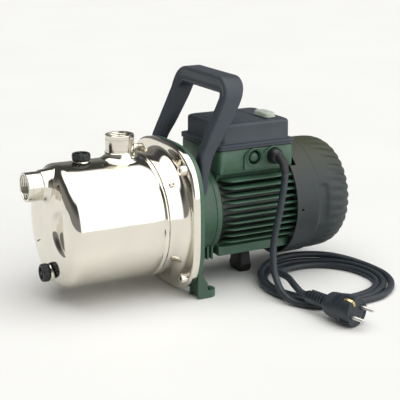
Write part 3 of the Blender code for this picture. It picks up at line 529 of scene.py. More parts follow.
def loft(rings, closed=False, bm=None):
    """Skin rings that have as many points each; a ring of one point is a pole."""
    bm = bm or bmesh.new()
    rows = [[bm.verts.new(point) for point in points] for points in rings]
    pairs = list(zip(rows, rows[1:]))
    if closed:
        pairs.append((rows[-1], rows[0]))
    for row, following in pairs:
        for i in range(max(len(row), len(following))):
            j = i + 1
            corners = (
                row[i % len(row)],
                row[j % len(row)],
                following[j % len(following)],
                following[i % len(following)],
            )
            bm.faces.new(list(dict.fromkeys(corners)))
    if not closed:
        for row in (rows[0], rows[-1]):
            if len(row) > 2:
                bm.faces.new(row)
    return bm


def turned(axis, profile, count=96, centre=(0, 0), closed=True, bm=None):
    """Turn a profile of (distance along the axis, radius) points about an axis."""
    return loft([ring(axis, along, r, count, centre) for along, r in profile], closed, bm)


def drill(axis, reach, radius, centre, bm, count=32):
    """A cutter for a round hole along an axis."""
    start, end = reach
    return turned(axis, [(start, 0), (start, radius), (end, radius), (end, 0)], count, centre, False, bm)


def prism(axis, start, end, outline, holes=(), bm=None):
    """Extrude an outline, which may have holes, along an axis."""
    flat = bmesh.new()
    edges = []
    for loop in (outline, *holes):
        verts = [flat.verts.new((*point, 0)) for point in loop]
        edges += [flat.edges.new(pair) for pair in zip(verts, verts[1:] + verts[:1])]
    bmesh.ops.triangle_fill(flat, edges=edges, use_beauty=True)
    flat.verts.index_update()
    caps = [[vert.index for vert in face.verts] for face in flat.faces]
    flat.free()
    bm = bm or bmesh.new()
    points = [point for loop in (outline, *holes) for point in loop]
    low = [bm.verts.new(point_on(axis, start, *point)) for point in points]
    high = [bm.verts.new(point_on(axis, end, *point)) for point in points]
    for cap in caps:
        bm.faces.new([low[i] for i in cap])
        bm.faces.new([high[i] for i in cap])
    first = 0
    for loop in (outline, *holes):
        count = len(loop)
        for i in range(count):
            a, b = first + i, first + (i + 1) % count
            bm.faces.new((low[a], low[b], high[b], high[a]))
        first += count
    return bm


def block(x, y, z, bm=None):
    outline = [(x[0], y[0]), (x[1], y[0]), (x[1], y[1]), (x[0], y[1])]
    return prism("Z", *z, outline, bm=bm)


def smooth_step(value, low, high):
    share = min(max((value - low) / (high - low), 0.0), 1.0)
    return share * share * (3 - 2 * share)


def smooth_route(points, spacing):
    """Points at even steps along a Catmull-Rom curve."""
    points = [Vector(point) for point in points]
    padded = [2 * points[0] - points[1], *points, 2 * points[-1] - points[-2]]
    fine = []
    for a, b, c, d in zip(padded, padded[1:], padded[2:], padded[3:]):
        for step in range(24):
            t = step / 24
            steady = 2 * b + (c - a) * t
            bent = (2 * a - 5 * b + 4 * c - d) * t**2 + (3 * b - a - 3 * c + d) * t**3
            fine.append(0.5 * (steady + bent))
    fine.append(points[-1])
    kept = [fine[0]]
    for point in fine:
        if (point - kept[-1]).length >= spacing:
            kept.append(point)
    if (points[-1] - kept[-1]).length < spacing / 2:
        kept.pop()
    return [*kept, points[-1]]


def sweep(path, radii, count=32, bm=None, closed=False):
    """A tube along a path, with a radius at each of its points."""
    rings = []
    side = Vector((0, 0, 1))
    for i, point in enumerate(path):
        ahead = (path[min(i + 1, len(path) - 1)] - path[max(i - 1, 0)]).normalized()
        side = (side - ahead * side.dot(ahead)).normalized()
        up = ahead.cross(side)
        rings.append([point + radii[i] * (side * math.cos(a) + up * math.sin(a)) for a in angles(count)])
    return loft(rings, closed, bm)


# ---------------------------------------------------------------- pieces
def dress(obj, finish, body, replaced=()):
    """Finish a piece, hang it on the empty of the body it rides on, and hide the CAD nodes it stands for.
    """
    obj.data.materials.clear()
    obj.data.materials.append(FINISHES[finish])
    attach(obj, body)
    if replaced:
        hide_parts(*replaced)
    return obj


def add_piece(name, bm, finish, replaced=(), body="pump_body", slot=None, **shape):
    """Make a piece and dress it; the slot is not used."""
    return dress(make_piece(name, bm, **shape), finish, body, replaced)


def make_piece(name, bm, matrix=None, sharp=35, bevel=0.0, segments=2):
    """A mesh object with its faces out, smooth apart from its sharp edges."""
    matrix = matrix or Matrix.Translation(SHAFT)
    bm.transform(matrix.to_3x3().to_4x4())
    bmesh.ops.recalc_face_normals(bm, faces=bm.faces[:])
    mesh = bpy.data.meshes.new(name)
    bm.to_mesh(mesh)
    bm.free()
    mesh.shade_smooth()
    mesh.set_sharp_from_angle(angle=math.radians(sharp))
    obj = bpy.data.objects.new(name, mesh)
    obj.location = matrix.translation
    bpy.context.collection.objects.link(obj)
    if bevel:
        modifier = obj.modifiers.new("rounded_edges", "BEVEL")
        modifier.width = bevel
        modifier.segments = segments
        modifier.limit_method = "ANGLE"
        modifier.angle_limit = math.radians(sharp)
        modifier.harden_normals = False
    return obj


def carve(obj, bm, matrix=None, operation="DIFFERENCE", sharp=35):
    """Cut a shape out of a piece, or join it on, for good."""
    tool = make_piece("tool", bm, matrix or Matrix.Translation(obj.location))
    modifier = obj.modifiers.new("carve", "BOOLEAN")
    modifier.operation = operation
    modifier.object = tool
    modifier.solver = "EXACT"
    depsgraph = bpy.context.evaluated_depsgraph_get()
    mesh = bpy.data.meshes.new_from_object(obj.evaluated_get(depsgraph))
    obj.modifiers.remove(modifier)
    old = obj.data
    obj.data = mesh
    mesh.name = old.name
    mesh.shade_smooth()
    mesh.set_sharp_from_angle(angle=math.radians(sharp))
    bpy.data.meshes.remove(old)
    bpy.data.objects.remove(tool)
    return obj


# ---------------------------------------------------------------- cord
DROP_ROUTE = [
    (0.1360, -0.0722, 0.0725),
    (0.1350, -0.0829, 0.0675),
    (0.1324, -0.0913, 0.0592),
    (0.1293, -0.0963, 0.0480),
    (0.1247, -0.0988, 0.0280),
    (0.1208, -0.1000, 0.0110),
    (0.1163, -0.1015, -0.0060),
    (0.1112, -0.1035, -0.0220),
    (0.1072, -0.1070, -0.0380),
    (0.1045, -0.1120, -0.0525),
    (0.1022, -0.1185, -0.0650),
    (0.1008, -0.1290, -0.0760),
    (0.1000, -0.1430, -0.0856),
    (0.1040, -0.1570, -0.0918),
    (0.1110, -0.1695, -0.0938),
    (0.1210, -0.1810, -0.0938),
    (0.1345, -0.1905, -0.0938),
    (0.1500, -0.1962, -0.0938),
    (0.1680, -0.1975, -0.0938),
]

# Angle in degrees, radius and height above the lowest strand, around the coil's centre.
COIL_STATIONS = [
    (-76, 0.0930, 0.0),
    (-40, 0.0890, 0.0),
    (0, 0.0848, 0.0),
    (25, 0.0845, 0.0020),
    (50, 0.0842, 0.0062),
    (90, 0.0832, 0.0090),
    (130, 0.0832, 0.0090),
    (158, 0.0860, 0.0062),
    (185, 0.0885, 0.0020),
    (215, 0.0885, 0.0),
    (257, 0.0860, 0.0),
    (284, 0.0822, 0.0),
    (320, 0.0785, 0.0),
    (360, 0.0740, 0.0),
    (410, 0.0765, 0.0),
    (450, 0.0795, 0.0),
    (490, 0.0800, 0.0),
    (545, 0.0790, 0.0),
    (575, 0.0790, 0.0),
    (617, 0.0764, 0.0),
    (644, 0.0730, 0.0),
    (680, 0.0690, 0.0),
    (720, 0.0610, 0.0),
    (750, 0.0590, 0.0),
    (790, 0.0590, 0.0),
    (830, 0.0595, 0.0015),
    (858, 0.0610, 0.0065),
    (880, 0.0640, 0.0130),
    (896, 0.0670, 0.0172),
]


def plug_frame():
    """Rotation and middle of the plug's face, with +X along its nose."""
    turn = Matrix.Rotation(PLUG_HEADING, 4, "Z") @ Matrix.Rotation(PLUG_ROLL, 4, "X")
    return turn, Vector((*PLUG_FACE, CORD_GROUND + PLUG_RADIUS))


def cord_route():
    """The cord's middle line from the gland to the plug's strain relief, in the shaft frame."""
    route = [Vector(point) for point in DROP_ROUTE]
    stations = smooth_route([(a / 1000, r, z) for a, r, z in COIL_STATIONS], 0.012)
    for turn, radius, height in stations:
        angle = math.radians(turn * 1000)
        x = COIL_CENTRE[0] + radius * math.cos(angle)
        y = COIL_CENTRE[1] + radius * math.sin(angle)
        route.append(Vector((x, y, CORD_GROUND + CORD_RADIUS + height)))
    turn, face = plug_frame()
    start = face + turn @ Vector((-PLUG_LENGTH - 6 * GAP, 0, 0))
    back = turn @ Vector((-1, 0, 0))
    top = CORD_GROUND + COIL_HEIGHT + CORD_RADIUS + GAP
    route += [
        Vector((0.1225, -0.1120, top)),
        Vector((0.1212, -0.1240, top)),
        Vector((0.1170, -0.1380, top)),
        Vector((0.1127, -0.1520, top - 0.0002)),
        Vector((0.1112, -0.1630, top - 0.0020)),
        start + 0.008 * back,
        start,
    ]
    return route


class PUMP_OT_cord(bpy.types.Operator):
    """Mains cord in one curve, and the tapered sleeve where it leaves the gland"""

    bl_idname = "pump.cord"
    bl_label = "Mains cord"

    def execute(self, context):
        points = smooth_route(cord_route(), 0.006)
        curve = bpy.data.curves.new("mains_cord", "CURVE")
        curve.dimensions = "3D"
        curve.bevel_depth = CORD_RADIUS
        curve.bevel_resolution = 6
        curve.use_fill_caps = True
        spline = curve.splines.new("POLY")
        spline.points.add(len(points) - 1)
        for target, point in zip(spline.points, points):
            target.co = (*point, 1)
        spline.use_smooth = True
        cord = bpy.data.objects.new("mains_cord", curve)
        cord.location = SHAFT
        context.collection.objects.link(cord)
        dress(cord, "cord_rubber", "pump_body", ("cord_drop", "cord_coil", "cord_tail"))

        path = smooth_route(DROP_ROUTE[:5], 0.0015)[:17]
        last = len(path) - 1
        radii = []
        for i in range(len(path)):
            taper = 0.0062 - 0.0012 * i / last
            radii.append(taper - (0.0003 if i % 4 == 3 and 2 < i < last else 0.0))
        add_piece("cord_sleeve", sweep(path, radii, 40), "rubber", sharp=60)
        return {"FINISHED"}


def plug_section(width, height, power, x, count=48):
    """A rounded section of the plug's body across its nose."""
    points = []
    for angle in angles(count):
        cosine, sine = math.cos(angle), math.sin(angle)
        reach = (abs(cosine / width) ** power + abs(sine / height) ** power) ** (-1 / power)
        points.append((x, reach * cosine, reach * sine))
    return points


class PUMP_OT_plug(bpy.types.Operator):
    """Earthed mains plug: slotted strain relief, body, earth contacts and pins"""

    bl_idname = "pump.plug"
    bl_label = "Mains plug"

    def execute(self, context):
        turn, face = plug_frame()
        matrix = Matrix.Translation(SHAFT + face) @ turn
        stations = [
            (-0.0470, 0.0088, 0.0088, 2.0),
            (-0.0455, 0.0120, 0.0112, 2.2),
            (-0.0435, 0.0142, 0.0120, 2.6),
            (-0.0390, 0.0152, 0.0122, 2.8),
            (-0.0330, 0.0158, 0.0126, 2.8),
            (-0.0260, 0.0170, 0.0142, 2.6),
            (-0.0205, 0.0180, 0.0165, 2.3),
            (-0.0175, 0.0183, 0.0178, 2.1),
            (-0.0165, 0.0184, 0.0184, 2.0),
            (-0.0010, 0.0184, 0.0184, 2.0),
            (0.0, 0.0176, 0.0176, 2.0),
            (0.0, 0.0150, 0.0150, 2.0),
            (-0.0006, 0.0147, 0.0147, 2.0),
        ]
        rings = [plug_section(w, h, power, x) for x, w, h, power in stations]
        body = make_piece("plug_body", loft(rings), matrix, sharp=30)
        # Side flats with the earth channels, finger grooves and the holes of the pins.
        cuts = bmesh.new()
        for side in (-1, 1):
            block((-0.0150, 0.0010), (-0.0042, 0.0042), sorted((side * 0.0168, side * 0.0200)), cuts)
            for number in range(4):
                x = -0.0405 + 0.0042 * number
                block(
                    (x, x + 0.0016),
                    (-0.0090, 0.0090),
                    sorted((side * (0.0113 + 0.0003 * number), side * 0.0180)),
                    cuts,
                )
            drill("X", (-0.002, 0.002), PIN_HOLE_RADIUS, (side * PIN_OFFSET, 0), cuts)
            block((-0.0130, 0.0012), sorted((side * 0.0170, side * 0.0200)), (-0.0030, 0.0030), cuts)
        carve(body, cuts, matrix, sharp=30)
        dress(body, "cord_rubber", "pump_body", ("mains_plug",))

        relief = bmesh.new()
        path = [(-PLUG_LENGTH, 0.0058), (-PLUG_LENGTH + 0.0015, 0.0064)]
        slots = 6
        for number in range(slots):
            x = -PLUG_LENGTH + 0.0030 + 0.0052 * number
            radius = 0.0066 + 0.00035 * number
            path += [(x, radius), (x + 0.0002, radius - 0.0018), (x + 0.0020, radius - 0.0018)]
            path += [(x + 0.0022, radius), (x + 0.0050, radius + 0.0003)]
        path += [(-0.0460, 0.0092), (-0.0450, 0.0080)]
        turned("X", [(-PLUG_LENGTH, 0), *path, (-0.0450, 0)], 48, closed=False, bm=relief)
        strips = make_piece("plug_relief", relief, matrix, sharp=30)
        bridges = bmesh.new()
        for side in (-1, 1):
            for across in (-1, 1):
                block(
                    (-0.0785, -0.0455),
                    sorted((side * 0.0052, side * 0.0088)),
                    sorted((0.0, across * 0.0028)),
                    bridges,
                )
        # Two solid strips join the ribs along the sides.
        bmesh.ops.remove_doubles(bridges, verts=bridges.verts, dist=0.00001)
        bridge = make_piece("plug_relief_strips", bridges, matrix, bevel=0.0004)
        for part in (strips, bridge):
            dress(part, "cord_rubber", "pump_body")

        for side, label in ((-1, "low"), (1, "top")):
            clip = bmesh.new()
            outline = [
                (-0.0140, side * 0.0166),
                (-0.0140, side * 0.0174),
                (-0.0080, side * 0.0181),
                (-0.0020, side * 0.0174),
                (0.0004, side * 0.0158),
                (0.0004, side * 0.0100),
                (-0.0004, side * 0.0100),
                (-0.0004, side * 0.0156),
                (-0.0030, side * 0.0166),
            ]
            prism("Y", -0.0017, 0.0017, outline, bm=clip)
            contact = make_piece(f"plug_earth_{label}", clip, matrix, bevel=0.0002)
            dress(contact, "brass", "pump_body")
        for side, label in ((-1, "a"), (1, "b")):
            base = 0.0024
            pin = [(-0.0090, 0), (-0.0090, base), (0.0070, base), (0.0072, PIN_RADIUS - 0.0001)]
            pin += [(PIN_LENGTH - 0.0022, PIN_RADIUS - 0.0001), (PIN_LENGTH - 0.0008, PIN_RADIUS - 0.0006)]
            pin += [(PIN_LENGTH, PIN_RADIUS - 0.0014), (PIN_LENGTH, 0)]
            shape = turned("X", pin, 40, (side * PIN_OFFSET, 0), False)
            piece = make_piece(f"plug_pin_{label}_metal", shape, matrix, sharp=50)
            dress(piece, "machined_steel", "pump_body", (f"plug_pin_{label}",))

        route = smooth_route(cord_route(), 0.006)
        length = sum((b - a).length for a, b in zip(route, route[1:]))
        return {"FINISHED"}


# ---------------------------------------------------------------- pump end
def face_x(radius):
    """The front face: nearly flat, with a rounded corner into the barrel."""
    share = min(1.0, (radius / BARREL_RADIUS) ** 7)
    return FACE_X + FACE_CORNER_DEPTH * (1 - math.sqrt(1 - share))


def face_relief(y, z, depth):
    """How far the face is pressed in by its scoops, or out around the suction port."""
    radius = math.hypot(y, z)
    away = math.hypot(y, z - SUCTION_Z)
    relief = -0.0022 * (1 - smooth_step(away, 0.0235, 0.0330)) * (1 - smooth_step(radius, 0.066, 0.0785))
    for side in (-1, 1):
        across, up = side * y, side * z
        reach = 0.048 if across > -0.060 else 0.022
        distance = math.hypot((across + 0.060) / reach, (up - 0.004) / 0.0315)
        inside = 1 - smooth_step(distance, 0.80, 1.0)
        slope = smooth_step(across, -0.076, -0.020)
        relief += depth * inside * slope * (1 - smooth_step(radius, 0.060, 0.076))
    return relief


class PUMP_OT_casing(bpy.types.Operator):
    """Deep-drawn pump casing: domed face, barrel with a bead, flange and folded lip"""

    bl_idname = "pump.casing"
    bl_label = "Pump casing"

    def execute(self, context):
        sizes = context.scene.pump_sizes
        count = 192
        rings = [[(FACE_X + face_relief(0, 0, sizes.scoop_depth), 0, 0)]]
        face_steps = 52
        for step in range(1, face_steps):
            share = step / face_steps
            radius = BARREL_RADIUS * (
                1 - (1 - share) ** 1.5
            ) if share > 0.5 else BARREL_RADIUS * share * 1.2929
            points = []
            for angle in angles(count):
                y, z = polar(radius, angle)
                points.append((face_x(radius) + face_relief(y, z, sizes.scoop_depth), y, z))
            rings.append(points)
        barrel = [(FACE_X + FACE_CORNER_DEPTH, BARREL_RADIUS)]
        barrel += [(-0.130 + 0.012 * i, BARREL_RADIUS) for i in range(8)]
        barrel += [(BEAD_X - 0.0046, BARREL_RADIUS), (BEAD_X - 0.0034, BARREL_RADIUS - 0.0003)]
        for step in range(9):
            share = step / 8
            lift = math.sin(math.pi * share)
            barrel.append((BEAD_X - 0.0028 + 0.0056 * share, BARREL_RADIUS + sizes.bead_height * lift))
        barrel += [(BEAD_X + 0.0034, BARREL_RADIUS - 0.0003), (BEAD_X + 0.0046, BARREL_RADIUS)]
        flare = 12
        for step in range(flare + 1):
            angle = math.pi / 2 * step / flare
            barrel.append(
                (-0.0180 + 0.0165 * math.sin(angle), BARREL_RADIUS + 0.0082 * (1 - math.cos(angle)))
            )
        rings += [ring("X", x, r, count) for x, r in barrel]
        flange_round = barrel[-1][1]
        for share in (0.35, 0.7, 1.0):
            outer = square_ring(-0.0015, FLANGE_HALF_SIDE - 0.0035, count)
            points = []
            for angle, (x, y, z) in zip(angles(count), outer):
                radius = flange_round + (math.hypot(y, z) - flange_round) * share
                points.append((x, *polar(radius, angle)))
            rings.append(points)
        roll = 0.0035
        for step in range(1, 8):
            angle = math.pi / 2 * step / 7
            inset = roll * (1 - math.sin(angle))
            rings.append(
                square_ring(-0.0015 + roll * (1 - math.cos(angle)), FLANGE_HALF_SIDE - inset, count)
            )
        for x, inset in (
            (LIP_END_X - 0.0004, 0.0),
            (LIP_END_X, 0.0004),
            (LIP_END_X, CASING_WALL - 0.0002),
            (0.0030, CASING_WALL),
            (0.0002, CASING_WALL + 0.0026),
        ):
            rings.append(square_ring(x, FLANGE_HALF_SIDE - inset, count))
        inner = BARREL_RADIUS - CASING_WALL
        rings += [
            ring("X", x, r, count) for x, r in ((-0.0002, 0.0870), (-0.0070, 0.0805), (-0.018, inner))
        ]
        rings += [ring("X", x, inner, count) for x in (-0.060, -0.100, -0.140)]
        for radius in (0.0780, 0.0740, 0.0660, 0.0500, 0.0300):
            points = []
            for angle in angles(count):
                y, z = polar(radius, angle)
                x = face_x(radius * BARREL_RADIUS / inner) + face_relief(y, z, sizes.scoop_depth)
                points.append((x + CASING_WALL, y, z))
            rings.append(points)
        rings.append([(FACE_X + CASING_WALL + face_relief(0, 0, sizes.scoop_depth), 0, 0)])
        casing = make_piece("casing_shell", loft(rings), sharp=40)
        holes = bmesh.new()
        front, top = (-0.2, -0.1), (0.06, 0.1)
        large, small = PORT_BORE + 0.00135, SCREW_SHANK_RADIUS + 0.0015
        drill("X", front, large, (0, SUCTION_Z), holes, 48)
        drill("Z", top, large, (DELIVERY_X, 0), holes, 48)
        drill("Z", top, small, (FILLER_X, 0), holes)
        drill("X", front, small, (0, DRAIN_Z), holes)
        carve(casing, holes, sharp=40)
        dress(casing, "polished_steel", "pump_body", ("pump_casing",))
        return {"FINISHED"}


def port_shape(height, seat, spread, pitch):
    """A threaded port along +Z from the shell, with a step and a flared weld collar."""
    count = 96
    outside = [(height, PORT_BORE + 0.0012), (height, PORT_RADIUS - 0.0005), (height - 0.0005, PORT_RADIUS)]
    for line in (height - 0.0048, 0.0108):
        outside += [(line, PORT_RADIUS), (line - 0.0003, PORT_RADIUS - 0.0004)]
        outside += [(line - 0.0008, PORT_RADIUS - 0.0004), (line - 0.0011, PORT_RADIUS)]
    outside += [(0.0075, PORT_RADIUS), (0.0068, PORT_RADIUS + 0.0010), (0.0056, PORT_RADIUS + 0.0014)]
    for out, z in (
        (0.0016, 0.0046), (0.0022, 0.0034), (0.0034, 0.0022), (0.0050, 0.0012), (0.0070, 0.0005)
    ):
        outside.append((z, PORT_RADIUS + 0.0014 + (out - 0.0014) * spread))
    outside.append((-0.0008, PORT_RADIUS + 0.0014 + 0.0070 * spread))
    rings = []
    for z, radius in outside:
        weight = 1 - smooth_step(z, 0.0004, 0.0075)
        points = []
        for angle in angles(count):
            x, y = polar(radius, angle)
            points.append((x, y, z + weight * seat(x, y)))
        rings.append(points)
    rings.append([(x, y, z - 0.0040) for x, y, z in ring("Z", 0, PORT_BORE + 0.0025, count)])
    depth = height + 0.0060
    steps = int(depth / (pitch / 6))
    for step in range(steps + 1):
        z = -0.0060 + depth * step / steps
        fade = smooth_step(height - z, 0.0, 0.0020)
        points = []
        for angle in angles(count):
            wave = abs(((z / pitch + angle / math.tau) % 1.0) * 2 - 1)
            radius = PORT_BORE + 0.0010 * wave * fade + 0.0008 * (1 - fade)
            points.append((*polar(radius, angle), z))
        rings.append(points)
    return loft(rings, closed=True)


class PUMP_OT_ports(bpy.types.Operator):
    """Suction port in the front face and delivery port on the barrel, both threaded"""

    bl_idname = "pump.ports"
    bl_label = "Ports"

    def execute(self, context):
        pitch = context.scene.pump_sizes.thread_pitch

        def on_face(x, y):
            # The port's own X points up and its Y along the shaft frame's Y.
            radius = min(math.hypot(y, SUCTION_Z + x), 0.0797)
            return FACE_X - face_x(radius)

        def on_barrel(x, y):
            return math.sqrt(BARREL_RADIUS**2 - y**2) - BARREL_RADIUS

        surface = FACE_X - 0.0018
        up_front = Matrix(((0, 0, -1, 0), (0, 1, 0, 0), (1, 0, 0, 0), (0, 0, 0, 1)))
        matrix = Matrix.Translation(SHAFT + Vector((surface, 0, SUCTION_Z))) @ up_front
        add_piece(
            "suction_stub",
            port_shape(surface - SUCTION_MOUTH_X, on_face, 0.55, pitch),
            "fitting_steel",
            ("suction_port",),
            matrix=matrix,
        )
        matrix = Matrix.Translation(SHAFT + Vector((DELIVERY_X, 0, BARREL_RADIUS)))
        height = DELIVERY_MOUTH_Z - BARREL_RADIUS
        add_piece(
            "delivery_stub",
            port_shape(height, on_barrel, 1.0, pitch),
            "fitting_steel",
            ("delivery_port",),
            matrix=matrix,
        )
        return {"FINISHED"}


def screw_cap_shape():
    """A hand-turned cap: lobed side, dished top with three windows, and a shank."""
    count = 144
    lobes = 12
    rings = []
    bottom = [(-0.009, 0), (-0.009, SCREW_SHANK_RADIUS - 0.001), (-0.008, SCREW_SHANK_RADIUS)]
    bottom += [(0.0, SCREW_SHANK_RADIUS)]
    rings += [ring("Z", z, r, count) for z, r in bottom]
    top = SCREW_HEAD_HEIGHT
    side = [
        (0.0, -0.0010, 0),
        (0.0008, 0.0, 0.2),
        (0.0020, 0.0, 1),
        (top - 0.0025, 0.0, 1),
        (top - 0.0010, -0.0004, 0.7),
    ]
    side += [(top - 0.0002, -0.0013, 0.2), (top, -0.0024, 0)]
    for z, inset, lobe in side:
        points = []
        for angle in angles(count):
            valley = (0.5 - 0.5 * math.cos(lobes * angle)) ** 3
            radius = SCREW_HEAD_RADIUS + inset - 0.0011 * lobe * valley
            points.append((*polar(radius, angle), z))
        rings.append(points)
    inner = [
        (top, 0.0082, 0), (top - 0.0006, 0.0078, 1), (top - 0.0032, 0.0076, 1), (top - 0.0034, 0.0030, 1)
    ]
    inner += [(top - 0.0008, 0.0028, 0), (top - 0.0004, 0.0022, 0)]
    for z, radius, sunk in inner:
        points = []
        for angle in angles(count):
            bar = abs(math.sin(1.5 * angle)) < 0.24
            height = top - 0.0006 if (sunk and bar) else z
            points.append((*polar(radius, angle), height))
        rings.append(points)
    rings.append([(0, 0, top - 0.0004)])
    return loft(rings)


def boss_shape():
    """The bright ring under a screw cap, and its threaded stub through the shell."""
    bore = SCREW_SHANK_RADIUS + GAP
    profile = [(-0.0095, bore), (-0.0013, bore), (-0.0013, 0.0102), (-0.0017, 0.0106), (-0.0024, 0.0109)]
    profile += [(-0.0036, 0.0116), (-0.0048, 0.0126), (-0.0048, 0.0097), (-0.0095, 0.0097)]
    return turned("Z", profile, 64)


class PUMP_OT_screw_caps(bpy.types.Operator):
    """Filler and drain caps with their bosses and sealing rings"""

    bl_idname = "pump.screw_caps"
    bl_label = "Screw caps"

    def execute(self, context):
        origins = {
            "filler": (SHAFT + Vector((FILLER_X, 0, BARREL_RADIUS + PLUG_STANDOFF)), Vector((0, 0, 1))),
            "drain": (SHAFT + Vector((FACE_X - PLUG_STANDOFF, 0, DRAIN_Z)), Vector((-1, 0, 0))),
        }
        for name, (origin, direction) in origins.items():
            turn = Vector((0, 0, 1)).rotation_difference(direction).to_matrix().to_4x4()
            matrix = Matrix.Translation(origin) @ turn
            add_piece(f"{name}_ring", boss_shape(), "fitting_steel", (f"{name}_boss",), matrix=matrix)
            add_piece(
                f"{name}_screw_cap",
                screw_cap_shape(),
                "black_plastic",
                (f"{name}_plug",),
                body=f"{name}_cap",
                matrix=matrix,
                sharp=40,
            )
            bore = SCREW_SHANK_RADIUS + GAP
            outer = SCREW_HEAD_RADIUS - 0.0006
            profile = [(-0.0010, bore), (-0.0003, bore), (-0.0003, outer - 0.0004), (-0.0006, outer)]
            profile += [(-0.0010, outer - 0.0004)]
            add_piece(
                f"{name}_gasket",
                turned("Z", profile, 64),
                "rubber",
                (f"{name}_plug_seal",),
                body=f"{name}_seal",
                matrix=matrix,
            )
        return {"FINISHED"}


class PUMP_OT_casing_bolts(bpy.types.Operator):
    """Four socket-head cap screws through the casing flange"""

    bl_idname = "pump.casing_bolts"
    bl_label = "Casing bolts"

    def execute(self, context):
        places = [(sy * BOLT_OFFSET, sz * BOLT_OFFSET) for sy in (-1, 1) for sz in (1, -1)]
        for number, (y, z) in enumerate(places, 1):
            count = 96
            rings = [
                ring("X", x, r, count)
                for x, r in ((0.0135, 0), (0.0135, BOLT_RADIUS), (-0.0018, BOLT_RADIUS))
            ]
            for x, radius, knurl in (
                (-0.0018, 0.0064, 0), (-0.0024, 0.0065, 1), (-0.0086, 0.0065, 1), (-0.0094, 0.0062, 0)
            ):
                points = []
                for i, angle in enumerate(angles(count)):
                    reach = radius - knurl * (0.00022 if i % 4 < 2 else 0.0)
                    points.append((x, *polar(reach, angle)))
                rings.append(points)
            rings.append(ring("X", -0.0098, 0.0056, count))
            for x, flats in ((-0.0098, 0.0030), (-0.0094, 0.0027), (-0.0054, 0.0027)):
                points = []
                for angle in angles(count):
                    off = (angle + math.pi / 6) % (math.pi / 3) - math.pi / 6
                    reach = flats / math.cos(off)
                    points.append((x, *polar(reach, angle)))
                rings.append(points)
            rings.append([(-0.0050, 0, 0)])
            matrix = Matrix.Translation(SHAFT + Vector((0, y, z)))
            add_piece(
                f"cap_screw_{number}",
                loft(rings),
                "fitting_steel",
                (f"casing_bolt_{number}",),
                slot="machined_steel",
                matrix=matrix,
                sharp=30,
            )
        return {"FINISHED"}


# ---------------------------------------------------------------- motor end
def foot_shapes(side):
    """Outer and inner side plates, the web set back between them, and the slotted tab."""
    y_outer, y_inner = side * 0.085, side * 0.060
    low = GROUND + 0.0002
    plate = [(0.0095, low), (0.0250, low), (0.0250, GROUND + 0.0095), (0.0236, -0.0866), (0.0232, -0.0770)]
    plate += [(0.0214, -0.0753), (0.0165, -0.0660), (0.0130, -0.0580), (0.0125, -0.050), (0.0095, -0.050)]
    radius = abs(y_outer - y_inner) / 2
    middle = (y_outer + y_inner) / 2
    tab = [(0.0127, y_outer), (0.0127, y_inner)]
    for step in range(25):
        angle = math.pi / 2 - math.pi * step / 24
        tab.append((0.039 - radius + radius * math.cos(angle), middle - side * radius * math.sin(angle)))
    slot = [(0.0265 + x, middle + y) for x, y in rounded_rectangle((0, 0), (0.0043, 0.0068), 0.0042, 6)]
    return [
        ("outer_plate", prism("Y", y_outer - side * 0.0035, y_outer + side * 0.0003, plate)),
        ("inner_plate", prism("Y", y_inner - side * 0.0003, y_inner + side * 0.0035, plate)),
        (
            "web",
            block(
                (0.0122, 0.0147),
                sorted((y_outer - side * 0.003, y_inner + side * 0.003)),
                (GROUND + 0.0045, -0.050),
            ),
        ),
        ("tab", prism("Z", GROUND, GROUND + 0.0095, tab, (slot,))),
    ]


class PUMP_OT_bracket(bpy.types.Operator):
    """Die-cast motor bracket: flange plate, collar, feet, handle lugs and drain ribs"""

    bl_idname = "pump.bracket"
    bl_label = "Motor bracket"

    def execute(self, context):
        count = 160
        edge = FLANGE_HALF_SIDE - 0.0009
        inside = FLANGE_HALF_SIDE - CASING_WALL - 0.0012
        rings = [
            ring("X", 0.0003, 0.070, count),
            square_ring(0.0003, inside - 0.002, count),
            square_ring(0.0015, inside, count),
            square_ring(LIP_END_X + 0.0003, inside, count),
            square_ring(LIP_END_X + 0.0003, edge - 0.0006, count),
            square_ring(LIP_END_X + 0.0009, edge, count),
            square_ring(0.0135, edge, count),
            square_ring(0.0145, edge - 0.0010, count),
        ]
        collar = [(0.0150, 0.0745), (0.0158, 0.0715), (0.0175, 0.0675), (0.0200, 0.0648), (0.0240, 0.0632)]
        collar += [(0.045, 0.0612), (0.0500, 0.0610), (0.0505, 0.0618), (0.0570, 0.0618), (0.0577, 0.0612)]
        collar += [(0.0577, 0.054), (0.0524, 0.050), (0.0524, 0.0203), (0.0397, 0.0203), (0.0397, 0.0125)]
        collar += [(0.022, 0.0125), (0.018, 0.056), (0.006, 0.060)]
        rings += [ring("X", x, r, count) for x, r in collar]
        add_piece("bracket_casting", loft(rings, closed=True), "green_paint", ("motor_bracket",), sharp=30)
        for side, label in ((-1, "near"), (1, "far")):
            for part, shape in foot_shapes(side):
                add_piece(f"{label}_foot_{part}", shape, "green_paint", bevel=0.0010, segments=3)
            lug = [
                (side * y, r)
                for y, r in ((0.030, 0), (0.030, 0.0095), (0.0545, 0.0085), (0.0562, 0.0070), (0.0562, 0))
            ]
            add_piece(f"{label}_handle_boss", turned("Y", lug, 48, (0.029, 0.046), False), "green_paint")
            cheek = [(0.0150, 0.044), (0.0150, 0.0640), (0.0215, 0.0600), (0.0430, 0.0430), (0.0430, 0.036)]
            add_piece(
                f"{label}_side_rib",
                prism("Y", side * 0.044, side * 0.0475, cheek),
                "green_paint",
                bevel=0.0008,
            )
        ribs = bmesh.new()
        for number in range(6):
            x = 0.0195 + 0.0062 * number
            block((x, x + 0.0028), (-0.0440, 0.0440), (-0.0618, -0.0440), ribs)
        block((0.0185, 0.0545), (-0.0380, 0.0380), (-0.0600, -0.0440), ribs)
        add_piece("drain_ribs", ribs, "green_paint", bevel=0.0005)
        return {"FINISHED"}


